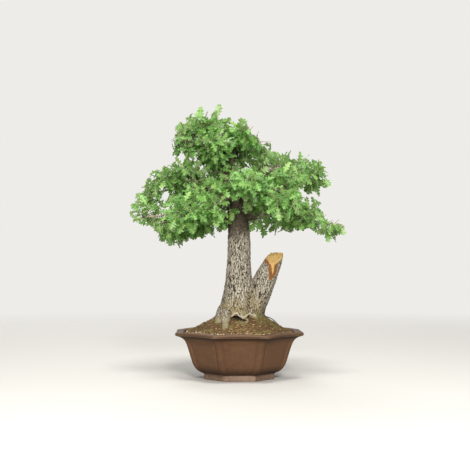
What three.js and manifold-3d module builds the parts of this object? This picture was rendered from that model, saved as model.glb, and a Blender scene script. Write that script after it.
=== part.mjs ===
// A downy oak bonsai in an eight-sided clay pot, in millimetres, +Z up.
// The origin is on the ground under the middle of the pot, and the front faces -Y.
// One seeded rule grows the tree: a trunk with a broken second stem and surface roots,
// limbs from a short table, and on each limb sprays of lobed leaves.

import * as THREE from "three";
import { mergeVertices } from "three/addons/utils/BufferGeometryUtils.js";
import Module from "manifold-3d";

const wasm = await Module();
wasm.setup();

// Driving dimensions
const GAP = 0.3; // clearance between pieces that touch
const POT_SIDES = 8;
const POT_TURN = 0.027; // how far the pot is turned to the left, in radians
const FLOOR_TOP = 30; // height of the floor inside the pot
const FOOT_RECESS = { apothem: 93, height: 18, corner: 8 };
const INSIDE_CORNER = 10; // half the width of the flat across each inner corner of the pot
const RIB = { width: 23, crease: 1.5, proud: 2.2 }; // upright rib on each outer corner
const DRAIN = { x: 48, radius: 13, sides: 12 };
const SCREEN = { side: 40, thickness: 1.6, holes: 2, hole: 15 };
const RIM_TOP = 139;
const SOIL_EDGE = 138.5; // soil height at the pot wall
const SOIL_RISE = { front: 35, side: 45 }; // how much higher the soil is at the trunk
const SOIL_SAG = 1.25; // how hollow the mound's slope is, 1 being straight
const SOIL_REACH = 158; // distance from the middle where the mound begins
const SOIL_FOOT = 60; // distance from the middle where the mound levels out
const ROOT_BALL_FOOT = 88; // height of the buried end of the trunk

const LEAF_THICKNESS = 0.7;
const LEAF_CLEARANCE = 0.5; // free space kept round a leaf that nears another spray
const SHOOTS = 7; // shoots on a full spray, the last one at its tip
const SHOOTS_BUILT = [2, 6]; // the shoots that are built here
const SHOOT_LEAVES = 6; // leaves on a full shoot, the first four of which are built here
const CLUSTER = 1.8; // length of the end of a shoot that carries the built leaves
const GOLDEN_ANGLE = 2.39996;
// Ranges that the growth is drawn from: lengths in millimetres, angles in degrees
const FIRST_SPRAY = 0.42; // share of a limb's length at which its first spray stands
const SPRAY = { away: [48, 66], length: [50, 66], rise: [-0.12, 0.2], shoots: [0.2, 0.96] };
const SHOOT = { away: [42, 68], reach: [36, 26], spread: [0.85, 1.15] };
const LEAF = { tipAway: [5, 30], away: [48, 80], sink: [0.05, 0.35], size: [32, 48] };
const LEAF_SPACING = 0.04; // between the leaves bunched at a shoot's tip, as a share of its length
const LEAF_LOW = [0.78, 0.4]; // where the leaves below the bunch stand
const FACE_UP = 0.6; // how much a leaf's upper face is turned up,
const FACE_OUT = 0.75; // and away from the trunk

const LOOKS = {
  clay: { color: 0x71543a, roughness: 0.72, metalness: 0 },
  soil: { color: 0x6b5136, roughness: 1, metalness: 0 },
  bark: { color: 0x8d8268, roughness: 0.95, metalness: 0 },
  leaf: { color: 0x6d9a45, roughness: 0.6, metalness: 0 },
  screen: { color: 0x1d1f1e, roughness: 0.6, metalness: 0 },
};

// Outer wall of the pot, from the foot up: height and distance from the axis to a flat
const POT_OUTSIDE = [
  [0, 100.5],
  [17, 100.5],
  [19.5, 105.5],
  [25, 116],
  [33, 124.3],
  [43, 130.6],
  [88, 144.9],
  [111, 153.4],
  [122.5, 162],
  [128.5, 171.5],
  [130.8, 180],
  [132.5, 183.6],
  [136.5, 184],
  [RIM_TOP, 181.5],
];
// Inner wall of the pot, from the floor up
const POT_INSIDE = [
  [FLOOR_TOP, 100],
  [44, 117],
  [72, 128],
  [102, 139],
  [123, 152.5],
  [RIM_TOP, 157.6],
];

// Trunk: height, centre x, centre y, radius
const TRUNK = [
  [ROOT_BALL_FOOT, 4, 0, 62],
  [117, 4, 0, 74],
  [145, 2, 0, 76],
  [170, -1, 0, 66],
  [195, -4, 0, 56.5],
  [220, -3, 0, 51],
  [245, -2, 0, 45.5],
  [281, 0, 0, 40],
  [315, 0, -1, 36.5],
  [355, 1, -2, 34],
  [400, 1, -3, 33],
  [440, -1, -4, 31.5],
  [480, -4, -5, 29],
  [530, -13, -6, 24.5],
  [573, -25, -5, 18.5],
  [609, -36, -2, 14],
  [645, -47, 2, 10.5],
  [689, -62, 3, 5],
];
// Swellings round the foot of the trunk: number, share of its radius, where they start and run out
const FLUTE = { count: 5, depth: 0.06, turn: 0.6, from: 255, run: 90 };
// Broken second stem: height, centre x, centre y, radius
const STUB = [
  [135, 24, 0, 46],
  [195, 40, -1, 38],
  [245, 59.5, -3, 36.5],
  [298, 79, -6, 34.5],
  [341, 99.5, -8, 28],
  [373, 112, -9, 20],
];
// Faces of the break at its top, each a point and the way out of the wood
const BREAK = [
  [[112, -5, 368], [0.12, 0.1, 1]],
  [[106, -16, 356], [-0.1, -0.65, 0.75]],
  [[94, -9, 365], [-0.65, -0.1, 0.75]],
];
// Groove of bare wood that runs down the front from the break: lower tip, upper end, upper radius
const GROOVE = { tip: [90, -40, 285], top: [105, -46, 357], radius: 19 };
// Surface roots: start, bend and end points, start and end radius
const ROOTS = [
  [[-34, -4, 188], [-70, -8, 154], [-128, -16, 122], 23, 9],
  [[-38, -22, 200], [-59, -60, 174], [-72, -96, 120], 22, 8],
  [[46, 8, 180], [90, 6, 158], [132, 12, 120], 22, 9],
  [[-30, -26, 202], [-45, -70, 180], [-40, -124, 128], 23, 7],
  [[36, -28, 192], [56, -56, 155], [84, -88, 104], 19, 8],
  [[-20, 34, 199], [-51, 76, 170], [-86, 112, 117], 19, 7],
  [[28, 36, 199], [53, 82, 168], [84, 120, 117], 19, 7],
  [[2, 40, 195], [6, 86, 164], [-6, 134, 116], 17, 7],
];
// Hollow under the front of the trunk: centre and half sizes
const HOLLOW = { at: [-8, -66, 174], half: [17, 25, 11] };

// Limbs: name, height on the trunk, bend point, end point, start radius, number of sprays,
// and how far up the side sprays point, in degrees
const LIMBS = [
  ["left_low", 456, [-98, -30, 486], [-230, -42, 474], 12, 5, -70, -15],
  ["left_mid", 525, [-114, 25, 581], [-222, 32, 553], 10, 4, -20, 45],
  ["left_front", 515, [-67, -95, 539], [-122, -162, 491], 10, 4, -30, 50],
  ["right_low", 462, [96, -30, 494], [220, -46, 459], 11, 5, -60, 25],
  ["right_mid", 540, [96, 20, 652], [187, 20, 611], 11, 4, -40, 60],
  ["right_front", 525, [51, -100, 568], [103, -174, 515], 10, 4, -30, 50],
  ["back_low", 495, [12, 100, 541], [23, 178, 513], 12, 3, -50, 20],
  ["back_left", 555, [-90, 90, 602], [-132, 150, 565], 9, 3, -30, 50],
  ["back_right", 565, [63, 95, 622], [121, 150, 575], 9, 3, -30, 50],
  ["top_right", 595, [-14, -20, 688], [18, -15, 692], 8, 3, 0, 60],
  ["top_left", 620, [-96, -10, 690], [-138, -12, 697], 7, 3, -20, 60],
];
const LIMB_END_RADIUS = 3.4;
const SPRAY_RADIUS = 2.8;
const APEX = { from: 623, to: 681, sprays: 4 };

// The point in front of the tree that its crown is shaped for
const VIEW = { x: -11.2, height: 325, distance: 2500 };
// The outline that the crown is pruned to, seen from there: x and z, anticlockwise
const CROWN = [
  [-40, 812], [-64, 812], [-80, 796], [-92, 802], [-118, 798], [-130, 786], [-170, 767],
  [-192, 701], [-196, 647], [-230, 617], [-264, 601], [-290, 557], [-326, 514], [-330, 477],
  [-302, 459], [-260, 451], [-232, 404], [-200, 382], [-170, 380], [-138, 402], [-94, 412],
  [-40, 414], [30, 425], [60, 412], [110, 419], [155, 426], [210, 441], [242, 427], [264, 405],
  [324, 407], [312, 445], [254, 469], [242, 500], [244, 529], [268, 570], [268, 615], [240, 647],
  [181, 672], [131, 677], [83, 685], [63, 709], [29, 724], [26, 755], [-15, 782],
];
const CROWN_DEPTH = 262; // how far the leaves reach to the front and to the back

const UP = new THREE.Vector3(0, 0, 1);
const point = (x, y, z) => new THREE.Vector3(x, y, z);
const mix = (a, b, t) => a + (b - a) * t;
const radians = (degrees) => (degrees * Math.PI) / 180;

// A repeatable stream of numbers from 0 to 1
function draws(seed) {
  let state = Math.imul(seed + 1, 2654435761) >>> 0;
  return () => {
    state = (Math.imul(state, 1664525) + 1013904223) >>> 0;
    return state / 4294967296;
  };
}

// The values beside a key in a table of [key, value, ...] rows, with a smooth run between rows
function readTable(table, key) {
  let i = 0;
  while (i < table.length - 2 && key > table[i + 1][0]) i += 1;
  const [before, from, to, after] = [table[Math.max(i - 1, 0)], table[i], table[i + 1],
    table[Math.min(i + 2, table.length - 1)]];
  const span = to[0] - from[0];
  const t = Math.min(Math.max((key - from[0]) / span, 0), 1);
  return from.slice(1).map((value, k) => {
    const leave = (span * (to[k + 1] - before[k + 1])) / (to[0] - before[0]);
    const arrive = (span * (after[k + 1] - value)) / (after[0] - from[0]);
    const rise = to[k + 1] - value;
    return value + t * (leave + t * (3 * rise - 2 * leave - arrive + t * (leave + arrive - 2 * rise)));
  });
}

// A point on the curve from a to b that is pulled towards bend
function curvePoint(a, bend, b, t) {
  return a.clone().multiplyScalar((1 - t) ** 2)
    .addScaledVector(bend, 2 * t * (1 - t))
    .addScaledVector(b, t * t);
}

// The direction of that curve at t
function curveDirection(a, bend, b, t) {
  return bend.clone().sub(a).multiplyScalar(1 - t)
    .addScaledVector(b.clone().sub(bend), t)
    .normalize();
}

function sideOf(direction) {
  const reference = Math.abs(direction.z) > 0.9 ? point(1, 0, 0) : UP;
  return reference.clone().cross(direction).normalize();
}

// A direction turned away from an axis by an angle, at an azimuth round it
function turnedFrom(axis, away, azimuth) {
  const side = sideOf(axis);
  const other = axis.clone().cross(side);
  return axis.clone().multiplyScalar(Math.cos(away))
    .addScaledVector(side, Math.sin(away) * Math.cos(azimuth))
    .addScaledVector(other, Math.sin(away) * Math.sin(azimuth));
}

// Solids

function solidOf(vertices, triangles) {
  return new wasm.Manifold(new wasm.Mesh({
    numProp: 3,
    vertProperties: new Float32Array(vertices),
    triVerts: new Uint32Array(triangles),
  }));
}

function solidOfGeometry(geometry) {
  const bare = geometry.clone();
  bare.deleteAttribute("normal");
  bare.deleteAttribute("uv");
  const merged = mergeVertices(bare, 1e-4);
  return solidOf(merged.attributes.position.array, merged.index.array);
}

function boxSolid(size, at) {
  return solidOfGeometry(new THREE.BoxGeometry(...size).translate(...at));
}

// Outward triangles between rings of n points, without the ends
function wallTriangles(ringCount, n) {
  const triangles = [];
  for (let i = 0; i < ringCount - 1; i += 1) {
    for (let k = 0; k < n; k += 1) {
      const [a, b] = [i * n + k, i * n + ((k + 1) % n)];
      triangles.push(a, b, b + n, a, b + n, a + n);
    }
  }
  return triangles;
}

// A closed solid through rings of points that run anticlockwise seen from the last ring
function loft(rings) {
  const n = rings[0].length;
  const vertices = rings.flat().flatMap((p) => p.toArray());
  const triangles = wallTriangles(rings.length, n);
  const last = (rings.length - 1) * n;
  const capCentre = (ring) => {
    const centre = ring.reduce((sum, p) => sum.add(p), point(0, 0, 0)).divideScalar(n);
    vertices.push(...centre.toArray());
    return vertices.length / 3 - 1;
  };
  if (n <= 6) {
    for (let k = 1; k < n - 1; k += 1) triangles.push(0, k + 1, k, last, last + k, last + k + 1);
    return solidOf(vertices, triangles);
  }
  const [bottom, top] = [capCentre(rings[0]), capCentre(rings.at(-1))];
  for (let k = 0; k < n; k += 1) {
    const next = (k + 1) % n;
    triangles.push(bottom, next, k, top, last + k, last + next);
  }
  return solidOf(vertices, triangles);
}

// Rings round stations of { at, ahead, radius }
function stemRings(stations, sides, firstSide) {
  let side = firstSide;
  return stations.map(({ at, ahead, radius }) => {
    side = side
      ? side.clone().addScaledVector(ahead, -side.dot(ahead)).normalize()
      : sideOf(ahead);
    const other = ahead.clone().cross(side);
    return Array.from({ length: sides }, (_, k) => {
      const turn = (2 * Math.PI * k) / sides;
      return at.clone()
        .addScaledVector(side, radius * Math.cos(turn))
        .addScaledVector(other, radius * Math.sin(turn));
    });
  });
}

function stem(stations, sides) {
  return loft(stemRings(stations, sides, null));
}

// Stations along a curve, with the radius running evenly from one end to the other
function alongCurve(a, bend, b, fromRadius, toRadius, steps) {
  return Array.from({ length: steps + 1 }, (_, i) => ({
    at: curvePoint(a, bend, b, i / steps),
    ahead: curveDirection(a, bend, b, i / steps),
    radius: mix(fromRadius, toRadius, i / steps),
  }));
}

function straightStem(from, to, fromRadius, toRadius, sides) {
  const ahead = to.clone().sub(from).normalize();
  return stem([{ at: from, ahead, radius: fromRadius }, { at: to, ahead, radius: toRadius }], sides);
}

// Pot

// One level of the pot: an octagon whose corners carry an upright rib between two creases
function potRing(height, apothem, rib) {
  const ring = [];
  for (let corner = 0; corner < POT_SIDES; corner += 1) {
    const angle = (2 * Math.PI * (corner + 0.5)) / POT_SIDES + POT_TURN;
    const reach = apothem / Math.cos(Math.PI / POT_SIDES);
    const along = rib.width / 2;
    for (const [across, out] of [[-along, -rib.crease], [-along * 0.5, rib.proud],
      [along * 0.5, rib.proud], [along, -rib.crease]]) {
      const inward = Math.abs(across) * Math.tan(Math.PI / POT_SIDES);
      const radius = reach - inward + out;
      ring.push(point(
        radius * Math.cos(angle) - across * Math.sin(angle),
        radius * Math.sin(angle) + across * Math.cos(angle),
        height,
      ));
    }
  }
  return ring;
}

function plainOctagon(height, apothem, cornerCut) {
  const ring = [];
  for (let corner = 0; corner < POT_SIDES; corner += 1) {
    const angle = (2 * Math.PI * (corner + 0.5)) / POT_SIDES + POT_TURN;
    const radius = apothem / Math.cos(Math.PI / POT_SIDES) - cornerCut * Math.tan(Math.PI / POT_SIDES);
    for (const across of [-cornerCut, cornerCut]) {
      ring.push(point(
        radius * Math.cos(angle) - across * Math.sin(angle),
        radius * Math.sin(angle) + across * Math.cos(angle),
        height,
      ));
    }
  }
  return ring;
}

function potInside(shrink) {
  return POT_INSIDE.map(([height, apothem], i) =>
    plainOctagon(height + (i === 0 ? shrink : 0), apothem - shrink, INSIDE_CORNER));
}

function makePot() {
  const outside = loft(POT_OUTSIDE.map(([height, apothem]) => potRing(height, apothem, RIB)));
  const insideRings = potInside(0);
  insideRings.push(insideRings.at(-1).map((p) => p.clone().setZ(RIM_TOP + 5)));
  const recess = loft([-5, FOOT_RECESS.height].map((height) =>
    plainOctagon(height, FOOT_RECESS.apothem, FOOT_RECESS.corner)));
  let pot = outside.subtract(loft(insideRings)).subtract(recess);
  for (const x of [-DRAIN.x, DRAIN.x]) {
    const drill = new THREE.CylinderGeometry(DRAIN.radius, DRAIN.radius, 40, DRAIN.sides);
    drill.rotateX(Math.PI / 2).translate(x, 0, FLOOR_TOP);
    pot = pot.subtract(solidOfGeometry(drill));
  }
  return pot;
}

// A square of plastic grid over a drain hole
function makeScreen(x) {
  const { side, thickness, holes, hole } = SCREEN;
  const pitch = side / holes;
  let plate = boxSolid([side, side, thickness], [x, 0, FLOOR_TOP + GAP + thickness / 2]);
  for (let i = 0; i < holes; i += 1) {
    for (let j = 0; j < holes; j += 1) {
      const at = [x + (i - (holes - 1) / 2) * pitch, (j - (holes - 1) / 2) * pitch, FLOOR_TOP];
      plate = plate.subtract(boxSolid([hole, hole, 4 * thickness], at));
    }
  }
  return plate;
}

// Wood

function trunkRing(table, height, sides, grow, fluted) {
  const [x, y, radius] = readTable(table, height);
  const flute = fluted ? FLUTE.depth * Math.min(Math.max((FLUTE.from - height) / FLUTE.run, 0), 1) : 0;
  return Array.from({ length: sides }, (_, k) => {
    const turn = (2 * Math.PI * k) / sides;
    const reach = radius * (1 + flute * Math.cos(FLUTE.count * turn + FLUTE.turn)) + grow;
    return point(x + reach * Math.cos(turn), y + reach * Math.sin(turn), height);
  });
}

// The trunk's foot, second stem and roots, made larger all round by grow
function makeButt(grow) {
  const heights = TRUNK.map(([height]) => height);
  heights[0] -= grow;
  const trunk = loft(heights.map((height, i) =>
    trunkRing(TRUNK, TRUNK[i][0], 12, grow, true).map((p) => p.setZ(height))));
  let stub = loft(STUB.map(([height]) => trunkRing(STUB, height, 8, grow, false)));
  for (const [at, out] of BREAK) {
    const inward = point(...out).normalize().negate();
    stub = stub.trimByPlane(inward.toArray(), inward.dot(point(...at)));
  }
  const roots = ROOTS.map(([from, bend, to, fromRadius, toRadius]) => stem(
    alongCurve(point(...from), point(...bend), point(...to), fromRadius + grow, toRadius + grow, 3), 6));
  return wasm.Manifold.union([trunk, stub, ...roots]);
}

function makeGroove() {
  return straightStem(point(...GROOVE.tip), point(...GROOVE.top), 0.5, GROOVE.radius, 6);
}

function makeHollow() {
  const ball = new THREE.SphereGeometry(1, 8, 6);
  ball.scale(...HOLLOW.half).translate(...HOLLOW.at);
  return solidOfGeometry(ball);
}

// Growth: where each limb, spray, shoot and leaf goes

function trunkCentre(height) {
  const [x, y] = readTable(TRUNK, height);
  return point(x, y, height);
}

function limbCurve([, height, bend, end]) {
  return [trunkCentre(height), point(...bend), point(...end)];
}

// Seats of the sprays of one limb: where each leaves the wood, and its direction
function limbSeats(limb, seed) {
  const [name, , , , fromRadius, count, lowLift, highLift] = limb;
  const [a, bend, b] = limbCurve(limb);
  const draw = draws(seed);
  return Array.from({ length: count }, (_, j) => {
    const t = mix(FIRST_SPRAY, 1, j / (count - 1));
    const tangent = curveDirection(a, bend, b, t);
    const at = curvePoint(a, bend, b, t);
    const seat = { name: name + "_" + (j + 1), seed: seed * 10 + j };
    if (j === count - 1) {
      return { ...seat, collar: null, base: at.addScaledVector(tangent, GAP), direction: tangent,
        radius: LIMB_END_RADIUS };
    }
    const side = tangent.clone().cross(UP).normalize().multiplyScalar(j % 2 ? 1 : -1);
    const away = radians(mix(...SPRAY.away, draw()));
    const lift = radians(mix(lowLift, highLift, draw()));
    const direction = tangent.clone().multiplyScalar(Math.cos(away))
      .addScaledVector(side, Math.sin(away) * Math.cos(lift))
      .addScaledVector(UP, Math.sin(away) * Math.sin(lift)).normalize();
    const limbRadius = mix(fromRadius, LIMB_END_RADIUS, t);
    const end = at.clone().addScaledVector(direction, 1.6 * limbRadius + 8);
    return { ...seat, collar: { from: at, to: end }, direction, radius: SPRAY_RADIUS,
      base: end.clone().addScaledVector(direction, GAP) };
  });
}

// Seats round the leader at the top of the trunk, and one at its end
function apexSeats(seed) {
  const draw = draws(seed);
  const seats = Array.from({ length: APEX.sprays }, (_, j) => {
    const height = mix(APEX.from, APEX.to, j / (APEX.sprays - 1));
    const azimuth = 2 + j * GOLDEN_ANGLE;
    const lift = radians(mix(15, 35, draw()));
    const direction = point(Math.cos(azimuth) * Math.cos(lift), Math.sin(azimuth) * Math.cos(lift),
      Math.sin(lift));
    const from = trunkCentre(height);
    const [, , radius] = readTable(TRUNK, height);
    const end = from.clone().addScaledVector(direction, 1.3 * radius + 8);
    return { name: "apex_" + (j + 1), seed: seed * 10 + j, collar: { from, to: end }, direction,
      radius: SPRAY_RADIUS, base: end.clone().addScaledVector(direction, GAP) };
  });
  const [top, topX, topY, topRadius] = TRUNK.at(-1);
  const base = point(topX, topY, top + GAP);
  seats.push({ name: "apex_tip", seed: seed * 10 + 9, collar: null, base, direction: UP.clone(),
    radius: topRadius });
  return seats;
}

// Whether a point lies inside the outline that the crown is pruned to
function insideCrown(p) {
  const nearness = VIEW.distance / (VIEW.distance + p.y);
  const x = VIEW.x + (p.x - VIEW.x) * nearness;
  const z = VIEW.height + (p.z - VIEW.height) * nearness;
  const crossed = CROWN.filter(([ax, az], i) => {
    const [bx, bz] = CROWN[(i + 1) % CROWN.length];
    return az > z !== bz > z && x < ax + ((z - az) / (bz - az)) * (bx - ax);
  });
  return Math.abs(p.y) < CROWN_DEPTH && crossed.length % 2 === 1;
}

// The leaves of one shoot, the one at its tip first
function shootLeaves(from, direction, length, draw) {
  const turn0 = draw() * 2 * Math.PI;
  return Array.from({ length: SHOOT_LEAVES }, (_, m) => {
    const v = m < 3 ? 1 - LEAF_SPACING * m : mix(...LEAF_LOW, (m - 3) / (SHOOT_LEAVES - 4));
    const away = radians(mix(...(m === 0 ? LEAF.tipAway : LEAF.away), draw()));
    const base = from.clone().addScaledVector(direction, length * v);
    const heading = turnedFrom(direction, away, turn0 + m * GOLDEN_ANGLE);
    heading.z -= mix(...LEAF.sink, draw());
    heading.normalize();
    const outward = point(base.x + 20, base.y, 0).normalize();
    const face = point(draw() - 0.5, draw() - 0.5, draw() - 0.5)
      .addScaledVector(UP, FACE_UP).addScaledVector(outward, FACE_OUT);
    face.addScaledVector(heading, -face.dot(heading)).normalize();
    const size = mix(...LEAF.size, draw());
    const pruned = !insideCrown(base.clone().addScaledVector(heading, 0.8 * size));
    return { base, heading, face, length: size, pruned };
  });
}

// The stem, shoots and leaves of one spray
function growSpray({ base, direction, radius, seed }) {
  const draw = draws(seed);
  const length = mix(...SPRAY.length, draw());
  const rise = mix(...SPRAY.rise, draw());
  const bend = base.clone().addScaledVector(direction, length * 0.5);
  const end = base.clone().addScaledVector(direction, length).addScaledVector(UP, rise * length);
  const turn0 = draw() * 2 * Math.PI;
  const shoots = Array.from({ length: SHOOTS }, (_, k) => {
    const t = mix(...SPRAY.shoots, k / (SHOOTS - 1));
    const from = curvePoint(base, bend, end, t);
    const tangent = curveDirection(base, bend, end, t);
    const away = k === SHOOTS - 1 ? 0 : radians(mix(...SHOOT.away, draw()));
    const heading = turnedFrom(tangent, away, turn0 + k * GOLDEN_ANGLE);
    const reach = mix(...SHOOT.reach, k / (SHOOTS - 1)) * mix(...SHOOT.spread, draw());
    return { from, heading, reach, leaves: shootLeaves(from, heading, reach, draw) };
  });
  return { stations: alongCurve(base, bend, end, radius, 1.6, 2), shoots };
}

// Leaves and sprays

// Half of the outline of a lobed leaf, as shares of its length: along, across and down
const LEAF_SIDE = [[0.4, 0.26, 0.05], [0.53, 0.12, 0.02], [0.7, 0.33, 0.09]];
const LEAF_TIP = [1, 0, 0.12];
const LEAF_OUTLINE = [...LEAF_SIDE, LEAF_TIP,
  ...LEAF_SIDE.map(([along, across, down]) => [along, -across, down]).reverse()];
// Triangles of the upper face, over the outline's points and two at the root
const LEAF_FACE = [["right", "left", 0], ["right", 0, 6], [6, 0, 1], [6, 1, 5], [5, 1, 3], [1, 2, 3],
  [5, 3, 4]];

// Adds a leaf to a mesh in place of a facet, its root, whose corners run anticlockwise from outside
function addLeaf(mesh, root, { base, heading, face, length }, thickness) {
  const across = heading.clone().cross(face);
  const first = mesh.points.length;
  for (const offset of [thickness / 2, -thickness / 2]) {
    for (const [along, side, down] of LEAF_OUTLINE) {
      mesh.points.push(base.clone()
        .addScaledVector(heading, along * length)
        .addScaledVector(across, side * length)
        .addScaledVector(face, offset - down * length));
    }
  }
  // The upper edge of the root is the one that lies furthest towards the leaf's upper face
  const height = (i) => mesh.points[root[i]].dot(face) + mesh.points[root[(i + 1) % root.length]].dot(face);
  const edge = root.map((_, i) => i).reduce((best, i) => (height(i) > height(best) ? i : best));
  const corner = (k) => root[(edge + k) % root.length];
  const n = LEAF_OUTLINE.length;
  const upper = { right: corner(0), left: corner(1) };
  const lower = { right: corner(root.length - 1), left: corner(2) };
  for (let k = 0; k < n; k += 1) {
    upper[k] = first + k;
    lower[k] = first + n + k;
  }
  for (const [a, b, c] of LEAF_FACE) {
    mesh.triangles.push(upper[a], upper[b], upper[c]);
    if (lower[a] !== lower[b]) mesh.triangles.push(lower[a], lower[c], lower[b]);
  }
  const rim = ["left", 0, 1, 2, 3, 4, 5, 6, "right"];
  for (let k = 0; k < rim.length - 1; k += 1) {
    const [from, to] = [rim[k], rim[k + 1]];
    mesh.triangles.push(upper[to], upper[from], lower[from], upper[to], lower[from], lower[to]);
  }
}

// The room that a leaf needs, from a share of its length outwards
function leafRoom(leaf, share) {
  const start = { at: leaf.base.clone().addScaledVector(leaf.heading, share * leaf.length),
    ahead: leaf.heading, radius: 1.2 };
  const points = stemRings([start], 3, leaf.face)[0];
  const mesh = { points, triangles: [0, 2, 1] };
  addLeaf(mesh, [0, 1, 2], leaf, LEAF_THICKNESS + 2 * LEAF_CLEARANCE);
  return solidOf(mesh.points.flatMap((p) => p.toArray()), mesh.triangles);
}

// A shoot with the given leaves at its end: the first fits its tip, the others its sides
function shootSolid({ from, heading, reach }, leaves) {
  const stations = [0, reach - CLUSTER, reach].map((along, i) => ({
    at: from.clone().addScaledVector(heading, along), ahead: heading, radius: i ? 1.1 : 1.5 }));
  const towards = leaves.slots[1].heading;
  const firstSide = turnedFromSide(heading, towards, radians(-60));
  const rings = stemRings(stations, 3, firstSide);
  const mesh = { points: rings.flat(), triangles: [0, 2, 1, ...wallTriangles(2, 3)] };
  for (let k = 0; k < 3; k += 1) {
    const next = (k + 1) % 3;
    const facet = [3 + k, 3 + next, 6 + next, 6 + k];
    if (leaves.built.has(k + 1)) addLeaf(mesh, facet, leaves.slots[k + 1], LEAF_THICKNESS);
    else mesh.triangles.push(facet[0], facet[1], facet[2], facet[0], facet[2], facet[3]);
  }
  if (leaves.built.has(0)) addLeaf(mesh, [6, 7, 8], leaves.slots[0], LEAF_THICKNESS);
  else mesh.triangles.push(6, 7, 8);
  return solidOf(mesh.points.flatMap((p) => p.toArray()), mesh.triangles);
}

// The direction square to an axis that lies towards another direction, turned round the axis
function turnedFromSide(axis, towards, turn) {
  return towards.clone().addScaledVector(axis, -towards.dot(axis)).normalize().applyAxisAngle(axis, turn);
}

// Builds the sprays and leaves out the shoots and leaves that would cross something already there
function buildSprays(seats, wood) {
  const taken = [{ name: "wood", solid: wood, box: wood.boundingBox() }];
  const take = (solid, name) => taken.push({ name, solid, box: solid.boundingBox() });
  const isFree = (solid, own) => {
    const box = solid.boundingBox();
    return !taken.some((other) => !own.includes(other.name)
      && box.min.every((low, i) => low < other.box.max[i] && box.max[i] > other.box.min[i])
      && solid.intersect(other.solid).volume() > 0);
  };
  const sprays = seats.map((seat) => ({ name: seat.name, ...growSpray(seat), pieces: [] }));
  for (const spray of sprays) {
    const main = stem(spray.stations, 3);
    take(main, spray.name);
    spray.pieces.push(main);
  }
  for (const spray of sprays) {
    spray.shoots = SHOOTS_BUILT.map((k) => spray.shoots[k]).filter((shoot, k) => {
      shoot.name = spray.name + "/" + k;
      const tip = shoot.from.clone().addScaledVector(shoot.heading, shoot.reach);
      const twig = straightStem(shoot.from, tip, 1.9, 1.5, 3);
      if (!isFree(twig, [spray.name])) return false;
      take(twig, shoot.name);
      return true;
    });
  }
  for (const spray of sprays) {
    for (const shoot of spray.shoots) {
      const built = new Set();
      for (let slot = 0; slot < 4; slot += 1) {
        // The stalks of a shoot's own leaves may touch, and nothing else may
        const [blade, whole] = [0.16, 0.01].map((share) => leafRoom(shoot.leaves[slot], share));
        const blades = shoot.name + "/blades";
        if (!shoot.leaves[slot].pruned && isFree(blade, [shoot.name])
          && isFree(whole, [shoot.name, blades])) {
          take(blade, blades);
          take(whole, shoot.name);
          built.add(slot);
        }
      }
      spray.pieces.push(shootSolid(shoot, { slots: shoot.leaves, built }));
    }
  }
  return sprays.map(({ name, pieces }) => ({ name, solid: wasm.Manifold.union(pieces) }));
}

// Soil

function soilHeight(x, y) {
  const reach = Math.max(Math.hypot(x, y), 1);
  const t = Math.min(Math.max((SOIL_REACH - reach) / (SOIL_REACH - SOIL_FOOT), 0), 1);
  return SOIL_EDGE + t ** SOIL_SAG * mix(SOIL_RISE.front, SOIL_RISE.side, (x / reach) ** 2);
}

function makeSoil() {
  const wall = potInside(GAP).slice(0, -1);
  const edge = readTable(POT_INSIDE, SOIL_EDGE)[0] - GAP;
  wall.push(plainOctagon(SOIL_EDGE, edge, INSIDE_CORNER));
  const mound = [0.8, 0.6, 0.38, 0.2].map((share) =>
    plainOctagon(0, edge * share, mix(INSIDE_CORNER, edge * share * 0.2, 1 - share)).map((p) =>
      p.setZ(soilHeight(p.x, p.y))));
  let soil = loft([...wall, ...mound]).subtract(makeButt(GAP));
  for (const x of [-DRAIN.x, DRAIN.x]) {
    const size = [SCREEN.side + 2 * GAP, SCREEN.side + 2 * GAP, SCREEN.thickness + 4 * GAP];
    soil = soil.subtract(boxSolid(size, [x, 0, FLOOR_TOP + GAP + SCREEN.thickness / 2]));
  }
  return soil;
}

// Assembly

function largestBody(solid) {
  return solid.decompose().reduce((a, b) => (a.volume() > b.volume() ? a : b));
}

function meshOf(name, solid, look) {
  const { numProp, vertProperties, triVerts } = solid.getMesh();
  const positions = new Float32Array((vertProperties.length / numProp) * 3);
  for (let i = 0; i < positions.length / 3; i += 1) {
    positions.set(vertProperties.subarray(i * numProp, i * numProp + 3), i * 3);
  }
  const geometry = new THREE.BufferGeometry();
  geometry.setAttribute("position", new THREE.BufferAttribute(positions, 3));
  geometry.setIndex(new THREE.BufferAttribute(triVerts, 1));
  const flat = geometry.toNonIndexed();
  flat.computeVertexNormals();
  const mesh = new THREE.Mesh(flat, new THREE.MeshStandardMaterial(LOOKS[look]));
  mesh.name = name;
  return mesh;
}

const seats = LIMBS.flatMap((limb, i) => limbSeats(limb, 100 + i));
seats.push(...apexSeats(200));

const limbs = LIMBS.map((limb) => stem(alongCurve(...limbCurve(limb), limb[4], LIMB_END_RADIUS, 4), 5));
const collars = seats.filter(({ collar }) => collar).map(({ collar }) =>
  straightStem(collar.from, collar.to, SPRAY_RADIUS + 0.8, SPRAY_RADIUS, 4));
const wood = wasm.Manifold.union([makeButt(0), ...limbs, ...collars])
  .subtract(makeGroove())
  .subtract(makeHollow());

const bonsai = new THREE.Group();
bonsai.name = "downy_oak_bonsai";
bonsai.add(meshOf("pot", makePot(), "clay"));
bonsai.add(meshOf("drain_screen_left", makeScreen(-DRAIN.x), "screen"));
bonsai.add(meshOf("drain_screen_right", makeScreen(DRAIN.x), "screen"));
bonsai.add(meshOf("soil", largestBody(makeSoil()), "soil"));
bonsai.add(meshOf("trunk_and_limbs", largestBody(wood), "bark"));
for (const { name, solid } of buildSprays(seats, wood)) {
  bonsai.add(meshOf("spray_" + name, solid, "leaf"));
}

export default bonsai;
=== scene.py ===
"""The looks of a downy oak bonsai in an eight-sided clay pot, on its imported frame."""

import math

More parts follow.
